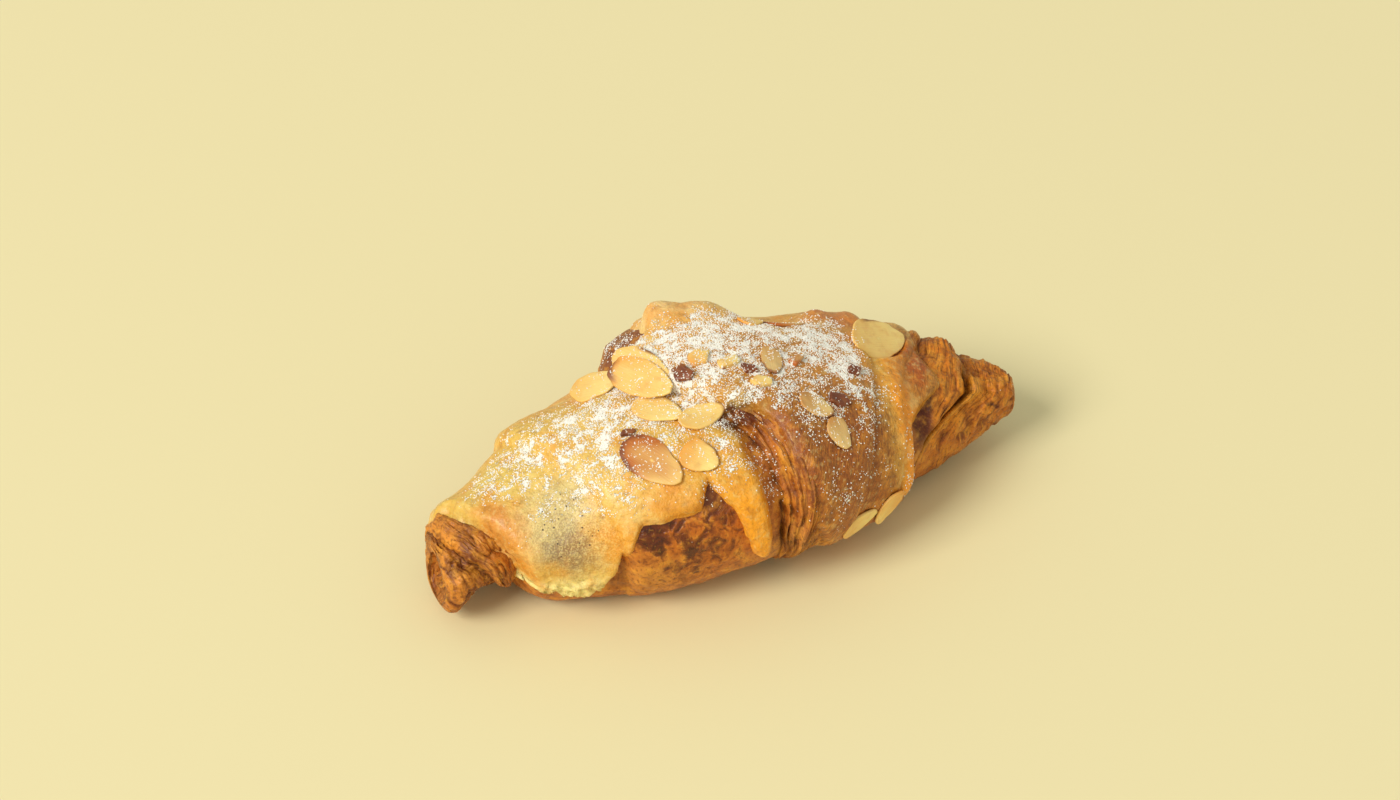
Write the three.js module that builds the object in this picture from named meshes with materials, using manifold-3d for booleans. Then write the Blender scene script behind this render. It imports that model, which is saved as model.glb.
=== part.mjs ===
// Almond croissant: rolled laminated dough under a baked sheet of almond cream, strewn with sliced almonds.
// Millimetres and degrees. +X runs from the left tip to the right tip, -Y is the front and +Z is up.
// Round the pastry an angle of 0 is the top, 90 the front, 180 the base and -90 the back.

import * as THREE from "three";
import Module from "manifold-3d";

const wasm = await Module();
wasm.setup();

// Smooth spindle of the rolled dough
const GIRTH = 33.8;
const SPINDLE_POWER = 1.8;
const SECTION_POWER = 2.3;
const WIDER = 0.12;
const FLATTER = 0.2;
const BELLY = 0.13;
const BELLY_SPREAD = 45;
const SPINE_LOW = 17;
const SPINE_RISE = 10;
const SPINE_SPREAD = 32;

// Dents of the spindle, and one swelling on the right end
const DENTS = [
  { x: 19, angle: -45, spread: 12, height: -6.5 },
  { x: -29, angle: -50, spread: 14, height: -4.5 },
  { x: -67, angle: -50, spread: 9, height: -2 },
  { x: -73, angle: 140, spread: 9, height: -6 },
  { x: 82, angle: 115, spread: 8, height: -2.4 },
  { x: 66, angle: -25, spread: 8, height: 1.8 },
];

// Base of the pastry: it rests flat in the middle and lifts off the floor towards the tips
const BASE_LIFT = 4;
const LIFT_FROM = 40;
const LIFT_TO = 58;
const LEFT_SET_DOWN = { from: 64, to: 78 };

// Blunt ends of the roll: where each stops, how thick it is, how it turns in, leans, bends and lies bare, and
// how its rim is tucked in under the next wrap
const TIPS = {
  left: {
    end: -85, reach: 92, roll: 13.6, turnIn: 6, endShare: 0.62,
    lean: 2, bend: -4, droop: -3, bendFrom: 30, bareFrom: 70,
    rim: { step: 2.2, sink: 2, peak: -30 },
  },
  right: {
    end: 87, reach: 97, roll: 7, turnIn: 9, endShare: 0.5,
    lean: 0, bend: -11, droop: 0, bendFrom: 35, bareFrom: 61,
    rim: { step: 0, sink: 0, peak: 0 },
  },
};
const LEAN_ANGLE = 130;

// Spiral of the rolled dough that shows on each end: depth of the hollow and of the groove, and its turns
const END_HOLLOW = { left: 1.4, right: 0.8 };
const END_GROOVE = 0.6;
const END_TURNS = 2;
const END_RINGS = [0.86, 0.7, 0.54, 0.38, 0.2];

// Edges of the wraps, from the tip inwards: x at the back and at the front, the angles over which an edge
// crosses, the height of its step, the share of it that sinks under the spindle and where it is highest
const LEFT_LIPS = [
  { back: -81, front: -72.5, from: 0, to: 120, step: 4.4, sink: 1, peak: 45 },
  { back: -75.5, front: -66.5, from: -40, to: 95, step: 6, sink: 1, peak: 125 },
  { back: -54, front: -42, from: -60, to: 60, step: 5, sink: 0.5, peak: 10 },
  { back: -20, front: 1, from: -50, to: 80, step: 9, sink: 0.7, peak: 10, layered: true },
];
const RIGHT_LIPS = [
  { back: 72.5, front: 47, from: 38, to: 95, step: 5, sink: 0.6, peak: 40 },
  { back: 64, front: 38, from: -40, to: 90, step: 2.5, sink: 0.5, peak: 10 },
  { back: 48, front: 22, from: -40, to: 100, step: 3, sink: 0.6, peak: 10 },
];
const NO_LIP = { step: 0, sink: 0, peak: 0 };
const LIP_RETURN = { from: 190, to: 270 };
const LIP_ROUND = 4;
const LIP_FALL = 1.3;
const STEP_FADE = { from: 65, to: 115, least: 0.2 };

// Ridges of the layers that run along the bare ends
const RIDGES = 14;
const RIDGE_HEIGHT = 0.5;
const RIDGE_TWIST = 6;
const RIDGE_FADE = 5;

// Layers that show on the edge of the last wrap
const LAYERS = 3;
const LAYER_DEPTH = 2;
const LAYER_STEEP = 4;

// Sheet of almond cream: thickness, gap to the pastry, rounding of its rim, how far it dives under the skin
const CREAM_THICK = 2;
const CREAM_THIN = 1;
const CREAM_FOLLOW = 0.6;
const CREAM_DIVE = 4;
const CREAM_HUMPS = [
  { x: -4.5, angle: -40, spread: 4.5, height: 5 },
  { x: 4.5, angle: -38, spread: 5.5, height: 3.8 },
  { x: 33, angle: -34, spread: 5, height: 2 },
  { x: 43, angle: -29, spread: 4.5, height: 1.6 },
  { x: 43, angle: 42, spread: 5, height: 1.2 },
  { x: 42.5, angle: 64, spread: 5, height: 1.8 },
  { x: 41.5, angle: 88, spread: 5.5, height: 2.2 },
];
const GAP = 0.3;
const CREAM_RIM = 2.6;
const END_CLEAR = 1.5;

// Where the rim of the cream runs: x on the left and right, angle at the back, and its waves there
const RIM_LEFT = { x: -78.5, slants: [{ width: 3, from: -45, to: -28 }, { width: 9, from: -40, to: 95 }] };
const RIM_RIGHT = { x: 60, bulge: 3, bulgeAngle: 33, bulgeSpread: 16 };
const RIM_RIGHT_CUTS = [{ depth: 13, from: 34, to: 64 }, { depth: 8, from: 84, to: 102 }];
const RIM_BACK = { angle: -78, wave: 2.5, length: 32 };

// Points that the rim passes at the front, x and angle: torn on the left, then scalloped, then the drip
const RIM_FRONT = [
  [-99, 95], [-68, 95], [-63, 101], [-54, 104], [-46, 93], [-41.6, 79], [-37, 69], [-34.5, 65], [-24, 69],
  [-18.6, 69], [-14.4, 61], [-12.6, 71], [-10.8, 77], [-10.4, 94], [-9.6, 100.5], [-8, 103.5], [-6, 102.5],
  [-4.6, 97], [12, 108], [99, 108],
];

// Bare band of the last wrap: where the cream stops before it, its top, and where the cream starts again
const BARE_BAND = { left: -3.6, top: 34, slant: 0.6, corner: -7, right: 1.4 };
const BAND_FLARES = [
  { width: 3, from: 30, to: 60 }, { width: 4, from: 60, to: 85 }, { width: 5, from: 88, to: 104 },
];

// Bare part of the last wrap at the back
const BARE_BACK = { right: -7.5, top: -27, slant: -1.2, corner: -15 };

// Whole almond slices: place on the cream, heading from +X to the front, length, width, height over it,
// how far they lean up to the front and how far they have slid, lengthwise and sideways
const SLICES = [
  { x: -23.5, angle: 42, heading: 68, length: 19, width: 10.5, over: 0 },
  { x: -14.5, angle: -8, heading: 62, length: 19.5, width: 10, over: 2.3, slide: [1.3, -0.3] },
  { x: -14.5, angle: -8, heading: 62, length: 18, width: 9.5, over: 0.8, slide: [-1.5, 2.8] },
  { x: -23.5, angle: -33, heading: 40, length: 15, width: 10, over: 1.6, lean: 25 },
  { x: -15.4, angle: 16.5, heading: 56, length: 14.3, width: 8.5, over: 0 },
  { x: -10, angle: 32.5, heading: 2, length: 13, width: 7.5, over: 0, slide: [2.1, 0] },
  { x: -13.6, angle: 50, heading: 54, length: 10.2, width: 8.5, over: 0 },
  { x: 45.5, angle: -2, heading: -15, length: 19, width: 12, over: 1.7, lean: 25 },
  { x: 11.6, angle: 45, heading: 43, length: 10, width: 6.5, over: 0 },
  { x: 15, angle: 57.5, heading: 78, length: 9, width: 6.5, over: 0 },
  { x: 10.3, angle: -22, heading: 10, length: 7, width: 6, over: 0 },
  { x: 19, angle: -25, heading: 3, length: 13, width: 8, over: 0 },
  { x: 24.3, angle: 98, heading: -20, length: 12, width: 7, over: 0 },
  { x: 34, angle: 95, heading: 126, length: 11, width: 7, over: 0 },
  { x: 7.5, angle: 17, heading: 110, length: 11, width: 5.5, over: 0 },
];
const SLICE_THICK = 1.1;
const SLICE_SINK = 0.35;
const SLICE_POINT = 0.22;
const SLICE_EDGE = 0.92;
const POCKET_ROOM = 0.7;

// Small almond chips, baked into the cream: place and heading
const CHIPS = [
  { x: -24.5, angle: 22, heading: 20 },
  { x: -8, angle: 9, heading: 60 },
  { x: -4, angle: 3, heading: -15 },
  { x: 0, angle: 12.5, heading: -10 },
  { x: 2.6, angle: 20, heading: 40 },
  { x: 3.2, angle: 29, heading: 15 },
  { x: 12.5, angle: 19, heading: -30 },
  { x: 18, angle: 44, heading: 20 },
  { x: 27, angle: 28, heading: 10 },
];
const CHIP = { length: 5.5, width: 3.6, over: 0.3 };

// Middle of the bounding box, which becomes the origin
const MIDDLE = { x: 1.53, y: -2.42 };

// Facets
const FINE_ARC = { from: -84, to: 114, step: 6.6 };
const COARSE_STEPS = 12;
const SLICE_COLUMNS = 12;
const CHIP_COLUMNS = 7;
const POCKET_COLUMNS = 10;
const RINGS_NEAR_LIP = [0, 1.1, 3.4];
const RINGS_NEAR_LAYERS = [0, 0.5, 2, 2.5, 4, 4.5];
const RINGS_BETWEEN = [2, 2, 3, 5, 4, 4, 3, 3, 4];
const RINGS_BEFORE_LAYERS = [6, 2];
const RINGS_SQUEEZE = 0.6;
const CROWN = 4;

const radians = THREE.MathUtils.degToRad;
const smoothstep = THREE.MathUtils.smoothstep;
const lerp = THREE.MathUtils.lerp;

// Angle brought into -90 to 270, so that the base and the back follow the front
function turned(angle) {
  return THREE.MathUtils.euclideanModulo(angle + 90, 360) - 90;
}

function angleBetween(a, b) {
  return Math.abs(THREE.MathUtils.euclideanModulo(a - b + 180, 360) - 180);
}

function tipOf(x) {
  return x < 0 ? TIPS.left : TIPS.right;
}

// x of a wrap's edge at an angle
function lipAt(lip, angle) {
  const a = turned(angle);
  const back = 1 - smoothstep(a, LIP_RETURN.from, LIP_RETURN.to);
  const share = a < 180 ? smoothstep(a, lip.from, lip.to) : back;
  return lerp(lip.back, lip.front, share);
}

// x of the roll's end at an angle
function endAt(tip, angle) {
  return tip.end + Math.sign(tip.end) * tip.lean * Math.cos(radians(angle - LEAN_ANGLE));
}

// Centre of the section at x
function spine(x) {
  const tip = tipOf(x);
  const out = Math.max(0, (Math.abs(x) - tip.bendFrom) / (Math.abs(tip.end) - tip.bendFrom));
  const z = SPINE_LOW + SPINE_RISE * Math.exp(-((x / SPINE_SPREAD) ** 2)) + tip.droop * out ** 2;
  return new THREE.Vector3(x, tip.bend * out ** 2, z);
}

// Half size of the spindle at x
function spindle(x) {
  const tip = tipOf(x);
  const bare = GIRTH * Math.max(0, 1 - (Math.abs(x) / tip.reach) ** SPINDLE_POWER);
  return (bare ** 4 + tip.roll ** 4) ** 0.25;
}

// Share of a round swelling or dent that is felt at a place
function swellAt(swell, x, angle) {
  const away = Math.hypot(x - swell.x, radians(angleBetween(angle, swell.angle)) * spindle(x)) / swell.spread;
  return Math.exp(-(away ** 2));
}

// Radius of the spindle's section at an angle
function sectionRadius(x, angle) {
  const middle = Math.max(0, 1 - (x / tipOf(x).end) ** 2);
  const size = spindle(x);
  const belly = Math.sin(radians(angle)) > 0 ? BELLY * Math.exp(-((x / BELLY_SPREAD) ** 2)) : 0;
  const halfWidth = size * (1 + WIDER * middle + belly);
  const halfHeight = size * (1 - FLATTER * middle);
  const across = Math.abs(Math.sin(radians(angle)) / halfWidth) ** SECTION_POWER;
  const upright = Math.abs(Math.cos(radians(angle)) / halfHeight) ** SECTION_POWER;
  const dented = DENTS.reduce((sum, dent) => sum + dent.height * swellAt(dent, x, angle), 0);
  return (across + upright) ** (-1 / SECTION_POWER) + dented;
}

// Height of a wrap's step at an angle
function stepAt(lip, angle) {
  const fade = smoothstep(angleBetween(angle, lip.peak), STEP_FADE.from, STEP_FADE.to);
  return lip.step * lerp(1, STEP_FADE.least, fade);
}

// Rise at a wrap's edge: a rounded lip, or a flight of layers
function roundedRise(inward) {
  return Math.sqrt(1 - (1 - Math.min(1, inward / LIP_ROUND)) ** 2);
}

function layeredRise(inward) {
  const at = Math.min(LAYERS, inward / LAYER_DEPTH);
  const layer = Math.min(LAYERS - 1, Math.floor(at));
  return (layer + Math.min(1, (at - layer) * LAYER_STEEP)) / LAYERS;
}

// Edges of the wraps at an angle, from the left end to the right end
function edgesAt(angle) {
  const left = LEFT_LIPS.map((lip) => ({ x: lipAt(lip, angle), lip, inward: 1 }));
  const right = RIGHT_LIPS.map((lip) => ({ x: lipAt(lip, angle), lip, inward: -1 })).reverse();
  const crown = { x: (left.at(-1).x + right[0].x) / 2, lip: NO_LIP, inward: 0 };
  const end = (tip) => ({ x: endAt(tip, angle), lip: tip.rim, inward: -Math.sign(tip.end) });
  return [end(TIPS.left), ...left, crown, ...right, end(TIPS.right)];
}

// Height of the ridges that run along the bare ends
function ridgeAt(x, angle) {
  const { bareFrom } = tipOf(x);
  const bare = smoothstep(Math.abs(x), bareFrom, bareFrom + RIDGE_FADE);
  return RIDGE_HEIGHT * Math.sin(radians(RIDGES * angle + RIDGE_TWIST * x)) * bare;
}

// Lift over the spindle at x: a step up at the wrap's own edge, then a slow fall to the foot of the next wrap
function wrapLift(x, angle, flight = layeredRise, share = 1) {
  const edges = edgesAt(angle);
  const at = Math.max(0, Math.min(edges.length - 2, edges.findLastIndex((edge) => edge.x <= x)));
  const [own, next] = edges[at].inward > 0 ? [edges[at], edges[at + 1]] : [edges[at + 1], edges[at]];
  const span = Math.abs(next.x - own.x);
  const inward = Math.min(span, Math.abs(x - own.x));
  const height = share * stepAt(own.lip, angle);
  const foot = -height * own.lip.sink;
  const crest = height * (1 - own.lip.sink);
  const nextFoot = -share * stepAt(next.lip, angle) * next.lip.sink;
  const rise = own.lip.layered ? flight : roundedRise;
  const fall = lerp(crest, nextFoot, (inward / span) ** LIP_FALL);
  return foot + (fall - foot) * rise(inward) + ridgeAt(x, angle);
}

// Rings at an angle, close together at the edges of the wraps
function stations(angle) {
  const edges = edgesAt(angle);
  const found = [];
  edges.slice(0, -1).forEach((edge, k) => {
    const [own, next] = edge.inward > 0 ? [edge, edges[k + 1]] : [edges[k + 1], edge];
    const span = Math.abs(next.x - own.x);
    const listed = own.lip.layered ? RINGS_NEAR_LAYERS : RINGS_NEAR_LIP;
    const squeeze = Math.min(1, (RINGS_SQUEEZE * span) / listed.at(-1));
    const inwards = listed.map((inward) => inward * squeeze);
    const reach = inwards.at(-1);
    for (let i = 1; i < RINGS_BETWEEN[k]; i++) inwards.push(lerp(reach, span, i / RINGS_BETWEEN[k]));
    if (next.lip.layered) inwards.push(...RINGS_BEFORE_LAYERS.map((short) => span - short));
    if (k === CROWN) inwards.push(span);
    const xs = inwards.map((inward) => own.x + Math.sign(next.x - own.x) * inward);
    found.push(...(edge.inward > 0 ? xs : xs.reverse()));
  });
  return found;
}

// Axes of the section at x
function sectionAxes(x) {
  const ahead = spine(x + 0.5).sub(spine(x - 0.5)).normalize();
  const front = new THREE.Vector3(ahead.y, -ahead.x, 0).normalize();
  const up = new THREE.Vector3().crossVectors(front, ahead);
  return { ahead, front, up };
}

// Lowest the skin may come at x
function baseAt(x) {
  const out = Math.abs(x);
  const lifted = BASE_LIFT * smoothstep(out, LIFT_FROM, LIFT_TO);
  return x < 0 ? lifted * (1 - smoothstep(out, LEFT_SET_DOWN.from, LEFT_SET_DOWN.to)) : lifted;
}

// Point of the skin at x and an angle, lifted along the radius and drawn in towards the spine by a share
function skinPoint(x, angle, lift, share = 1) {
  const tip = tipOf(x);
  const past = Math.max(0, 1 - Math.abs(endAt(tip, angle) - x) / tip.turnIn);
  const turnIn = lerp(tip.endShare, 1, Math.sqrt(1 - Math.min(1, past) ** 2));
  const { front, up } = sectionAxes(x);
  const radius = (sectionRadius(x, angle) + lift) * turnIn * share;
  const point = spine(x)
    .addScaledVector(front, radius * Math.sin(radians(angle)))
    .addScaledVector(up, radius * Math.cos(radians(angle)));
  point.z = Math.max(point.z, baseAt(x));
  return point;
}

// Rings that close an end, hollowed and grooved by the spiral of the dough
function endRings(tip, angle, hollow) {
  const edge = endAt(tip, angle);
  return END_RINGS.map((share) => {
    const turn = Math.cos(radians(angle * Math.sign(tip.end) + 360 * END_TURNS * share));
    const inward = hollow * (1 - share ** 2) + END_GROOVE * (hollow / END_HOLLOW.left) * (1 + turn);
    const point = skinPoint(edge, angle, wrapLift(edge, angle), share);
    return point.addScaledVector(sectionAxes(tip.end).ahead, -Math.sign(tip.end) * inward);
  });
}

// Angles of the columns, fine over the top and the front and coarse under the base
function columnAngles() {
  const angles = [];
  for (let a = FINE_ARC.from; a < FINE_ARC.to; a += FINE_ARC.step) angles.push(a);
  const rest = 360 - (FINE_ARC.to - FINE_ARC.from);
  for (let i = 0; i < COARSE_STEPS; i++) angles.push(FINE_ARC.to + (rest * i) / COARSE_STEPS);
  return angles;
}

// Closed skin over columns of points, each from the first pole to the last, split along the shorter diagonals
function closedSkin(columns, firstPole, lastPole) {
  const count = columns.length;
  const rings = columns[0].length;
  const points = [];
  for (let i = 0; i < rings; i++) for (const column of columns) points.push(column[i]);
  points.push(firstPole, lastPole);
  const index = [];
  for (let j = 0; j < count; j++) {
    const next = (j + 1) % count;
    for (let i = 0; i + 1 < rings; i++) {
      const [a, b] = [i * count + j, i * count + next];
      const [c, d] = [a + count, b + count];
      const straight = points[b].distanceTo(points[c]) <= points[a].distanceTo(points[d]);
      index.push(...(straight ? [a, b, c, b, d, c] : [a, b, d, a, d, c]));
    }
    const last = (rings - 1) * count;
    index.push(rings * count, next, j, rings * count + 1, last + j, last + next);
  }
  return new THREE.BufferGeometry().setFromPoints(points).setIndex(index);
}

// Pole that closes an end
function endPole(tip, hollow) {
  const inward = hollow + END_GROOVE * (hollow / END_HOLLOW.left);
  return spine(tip.end).addScaledVector(sectionAxes(tip.end).ahead, -Math.sign(tip.end) * inward);
}

// Skin of the roll with a lift of its own at each place, its ends hollowed by a margin more or less
function rollGeometry(pointAt, margin) {
  const hollow = { left: END_HOLLOW.left + margin, right: END_HOLLOW.right + margin };
  const column = (angle) => [
    ...endRings(TIPS.left, angle, hollow.left).reverse(),
    ...stations(angle).map((x) => pointAt(x, angle)),
    ...endRings(TIPS.right, angle, hollow.right),
  ];
  const poles = [endPole(TIPS.left, hollow.left), endPole(TIPS.right, hollow.right)];
  return closedSkin(columnAngles().map(column), ...poles);
}

// The pastry, grown all over by a margin
function pastryGeometry(margin) {
  return rollGeometry((x, angle) => skinPoint(x, angle, wrapLift(x, angle) + margin), -margin);
}

// Angle of the cream's front rim at x
function frontRim(x) {
  const next = RIM_FRONT.findIndex(([end]) => end > x);
  const [[fromX, fromAngle], [toX, toAngle]] = [RIM_FRONT[next - 1], RIM_FRONT[next]];
  return lerp(fromAngle, toAngle, (x - fromX) / (toX - fromX));
}

// x of the cream's right rim at an angle
function rightRim(angle) {
  const away = (angle - RIM_RIGHT.bulgeAngle) / RIM_RIGHT.bulgeSpread;
  const uncut = RIM_RIGHT.x + RIM_RIGHT.bulge * Math.exp(-(away ** 2));
  return RIM_RIGHT_CUTS.reduce((x, cut) => x - cut.depth * smoothstep(angle, cut.from, cut.to), uncut);
}

// Distance from a place on the skin to the rim of the cream, positive on the cream
function creamInside(x, angle) {
  const a = turned(angle) > LIP_RETURN.from ? turned(angle) - 360 : turned(angle);
  const perDegree = radians(1) * spindle(x);
  const wave = RIM_BACK.wave * Math.sin((2 * Math.PI * x) / RIM_BACK.length);
  const lip = lipAt(LEFT_LIPS.at(-1), angle);
  const flare = ({ width, from, to }) => width * smoothstep(a, from, to);
  const flared = (edge, flares) => flares.reduce((sum, one) => sum + flare(one), edge);
  const offBand = Math.max(
    Math.min(lip, BARE_BAND.left) - x,
    x - flared(BARE_BAND.right, BAND_FLARES),
    (BARE_BAND.top + BARE_BAND.slant * (x - BARE_BAND.corner) - a) * perDegree,
  );
  const offBack = Math.max(
    lip - x,
    x - BARE_BACK.right,
    (a - BARE_BACK.top - BARE_BACK.slant * (x - BARE_BACK.corner)) * perDegree,
  );
  return Math.min(
    x - flared(RIM_LEFT.x, RIM_LEFT.slants),
    rightRim(a) - x,
    (frontRim(x) - a) * perDegree,
    (a - RIM_BACK.angle - wave) * perDegree,
    offBand,
    offBack,
  );
}

// Point of the cream's face: it fills the steps of the wraps and dives under the skin outside its rim
function creamPoint(x, angle) {
  const inside = Math.max(-CREAM_DIVE, Math.min(CREAM_RIM, creamInside(x, angle)));
  const under = wrapLift(x, angle);
  const thick = CREAM_HUMPS.reduce((sum, hump) => sum + hump.height * swellAt(hump, x, angle), CREAM_THICK);
  const filled = Math.max(under + CREAM_THIN, wrapLift(x, angle, roundedRise, CREAM_FOLLOW) + thick);
  const rim = inside / CREAM_RIM;
  const lift = inside < 0 ? rim * CREAM_THICK : (filled - under) * rim * (2 - rim);
  return skinPoint(x, angle, under + GAP + lift);
}

// Middle of an almond slice laid on the cream, with its long, cross and upright axes
function sliceFrame({ x, angle, heading, length, over, lean = 0, slide = [0, 0] }) {
  const spread = length / 3;
  const turn = THREE.MathUtils.radToDeg(spread / sectionRadius(x, angle));
  const along = creamPoint(x + spread, angle).sub(creamPoint(x - spread, angle)).normalize();
  const round = creamPoint(x, angle + turn).sub(creamPoint(x, angle - turn)).normalize();
  const out = new THREE.Vector3().crossVectors(round, along).normalize();
  const ahead = along.clone().multiplyScalar(Math.cos(radians(heading)));
  ahead.addScaledVector(round, Math.sin(radians(heading)));
  ahead.addScaledVector(out, -ahead.dot(out)).normalize();
  const centre = creamPoint(x, angle).addScaledVector(out, SLICE_THICK / 2 - SLICE_SINK + over);
  out.applyAxisAngle(ahead, radians(lean));
  const across = new THREE.Vector3().crossVectors(out, ahead);
  centre.addScaledVector(ahead, slide[0]).addScaledVector(across, slide[1]);
  return { centre, ahead, across, out };
}

// A flat plate with an almond's outline, pointed at one end: levels have a height and a share of the outline
function plateGeometry(slice, columns, margin, levels) {
  const { centre, ahead, across, out } = sliceFrame(slice);
  const halfLength = slice.length / 2 + margin;
  const halfWidth = slice.width / 2 + margin;
  const rim = (bearing, share, height) => {
    const reach = Math.cos(bearing);
    const side = Math.sin(bearing) * (1 - SLICE_POINT * reach);
    return centre.clone()
      .addScaledVector(ahead, halfLength * share * reach)
      .addScaledVector(across, halfWidth * share * side)
      .addScaledVector(out, height);
  };
  const sides = Array.from({ length: columns }, (_, j) =>
    levels.map(([height, share]) => rim((2 * Math.PI * j) / columns, share, height)),
  );
  return closedSkin(sides, rim(0, 0, levels[0][0]), rim(0, 0, levels.at(-1)[0]));
}

function sliceGeometry(slice, columns) {
  const half = SLICE_THICK / 2;
  return plateGeometry(slice, columns, 0, [[-half, SLICE_EDGE], [0, 1], [half, SLICE_EDGE]]);
}

// Room for a slice, open upwards
function pocketGeometry(slice) {
  const half = SLICE_THICK / 2;
  return plateGeometry(slice, POCKET_COLUMNS, POCKET_ROOM, [[-half - GAP, 1], [half + POCKET_ROOM, 1]]);
}

// Geometry to a solid for joining and cutting, and back
function solid(geometry) {
  const { position } = geometry.attributes;
  return new wasm.Manifold(new wasm.Mesh({
    numProp: 3,
    vertProperties: new Float32Array(position.array),
    triVerts: new Uint32Array(geometry.index.array),
  }));
}

function fromSolid(body) {
  const mesh = body.getMesh();
  const geometry = new THREE.BufferGeometry();
  geometry.setAttribute("position", new THREE.BufferAttribute(new Float32Array(mesh.vertProperties), 3));
  geometry.setIndex(new THREE.BufferAttribute(new Uint32Array(mesh.triVerts), 1));
  return geometry;
}

function largestPiece(body) {
  return body.decompose().reduce((a, b) => (a.volume() > b.volume() ? a : b));
}

function node(name, geometry, color) {
  const mesh = new THREE.Mesh(geometry, new THREE.MeshStandardMaterial({ color }));
  mesh.name = name;
  return mesh;
}

const croissant = new THREE.Group();
croissant.position.set(-MIDDLE.x, -MIDDLE.y, 0);
croissant.add(node("pastry", pastryGeometry(0), "#b06a26"));

const chips = CHIPS.map((chip) => solid(sliceGeometry({ ...chip, ...CHIP }, CHIP_COLUMNS)));
const pockets = SLICES.map((slice) => solid(pocketGeometry(slice)));
const envelope = solid(rollGeometry(creamPoint, END_CLEAR));
const sheet = largestPiece(envelope.subtract(solid(pastryGeometry(GAP))));
const strewn = chips.reduce((body, chip) => body.add(chip), sheet);
const cream = pockets.reduce((body, pocket) => body.subtract(pocket), strewn);
croissant.add(node("almond_cream", fromSolid(largestPiece(cream)), "#e8be69"));

SLICES.forEach((slice, i) => {
  const name = `almond_slice_${String(i + 1).padStart(2, "0")}`;
  croissant.add(node(name, sliceGeometry(slice, SLICE_COLUMNS), "#f0d596"));
});

export default croissant;
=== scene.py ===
"""Almond croissant: flaky crust, baked almond cream, sliced almonds and icing sugar.

Sizes are millimetres and degrees in the dough's own frame, which lies near the middle of the roll.
Round the roll an angle of 0 is the top, 90 the front, 180 the base and -90 the back.
Finished meshes are in metres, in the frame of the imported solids.
"""

import itertools
import logging
import math
from dataclasses import dataclass, replace
from enum import Enum

import bpy
import numpy as np
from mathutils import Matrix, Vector


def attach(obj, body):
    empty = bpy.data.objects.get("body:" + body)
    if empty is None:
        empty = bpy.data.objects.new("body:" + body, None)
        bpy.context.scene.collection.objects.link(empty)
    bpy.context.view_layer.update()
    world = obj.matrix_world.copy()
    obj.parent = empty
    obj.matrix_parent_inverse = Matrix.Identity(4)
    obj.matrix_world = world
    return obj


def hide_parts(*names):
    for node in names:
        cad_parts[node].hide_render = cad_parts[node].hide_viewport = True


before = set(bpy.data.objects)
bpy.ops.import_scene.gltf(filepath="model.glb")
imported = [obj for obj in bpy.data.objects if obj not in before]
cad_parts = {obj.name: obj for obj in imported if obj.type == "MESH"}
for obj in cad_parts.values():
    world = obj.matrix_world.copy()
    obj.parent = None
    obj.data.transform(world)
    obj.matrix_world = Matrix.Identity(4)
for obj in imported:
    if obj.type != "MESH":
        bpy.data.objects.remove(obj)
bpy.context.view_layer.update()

LOG = logging.getLogger("almond_croissant")
METRES = 0.001
DOUGH_MIDDLE = np.array([1.53, -2.42, 0.0])
BODY = "root"

Array = np.ndarray
Colour = tuple[float, float, float]
Fade = tuple[float, float]
Triples = tuple[tuple[float, float, float], ...]


def paint(red: int, green: int, blue: int) -> Colour:
    """Linear colour of a paint chip that is given in the usual 0 to 255 values."""
    shares = (red / 255, green / 255, blue / 255)
    return tuple(c / 12.92 if c < 0.04 else ((c + 0.055) / 1.055) ** 2.4 for c in shares)


def smoothstep(value: Array, low: float, high: float) -> Array:
    """Soft step from 0 at low to 1 at high."""
    share = np.clip((np.asarray(value) - low) / (high - low), 0, 1)
    return share * share * (3 - 2 * share)


def lerp(first: Array, last: Array, share: Array) -> Array:
    """Number that lies a share of the way from first to last."""
    return first + (last - first) * share


def unit(vectors: Array) -> Array:
    """Vectors brought to a length of 1."""
    return vectors / np.linalg.norm(vectors, axis=-1, keepdims=True)


def turned(angle: Array) -> Array:
    """Angles brought into -90 to 270, so that the base and the back follow the front."""
    return np.mod(np.asarray(angle) + 90, 360) - 90


def angle_between(first: Array, last: Array) -> Array:
    """Size of the smaller angle between two bearings."""
    return np.abs(np.mod(first - last + 180, 360) - 180)


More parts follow.
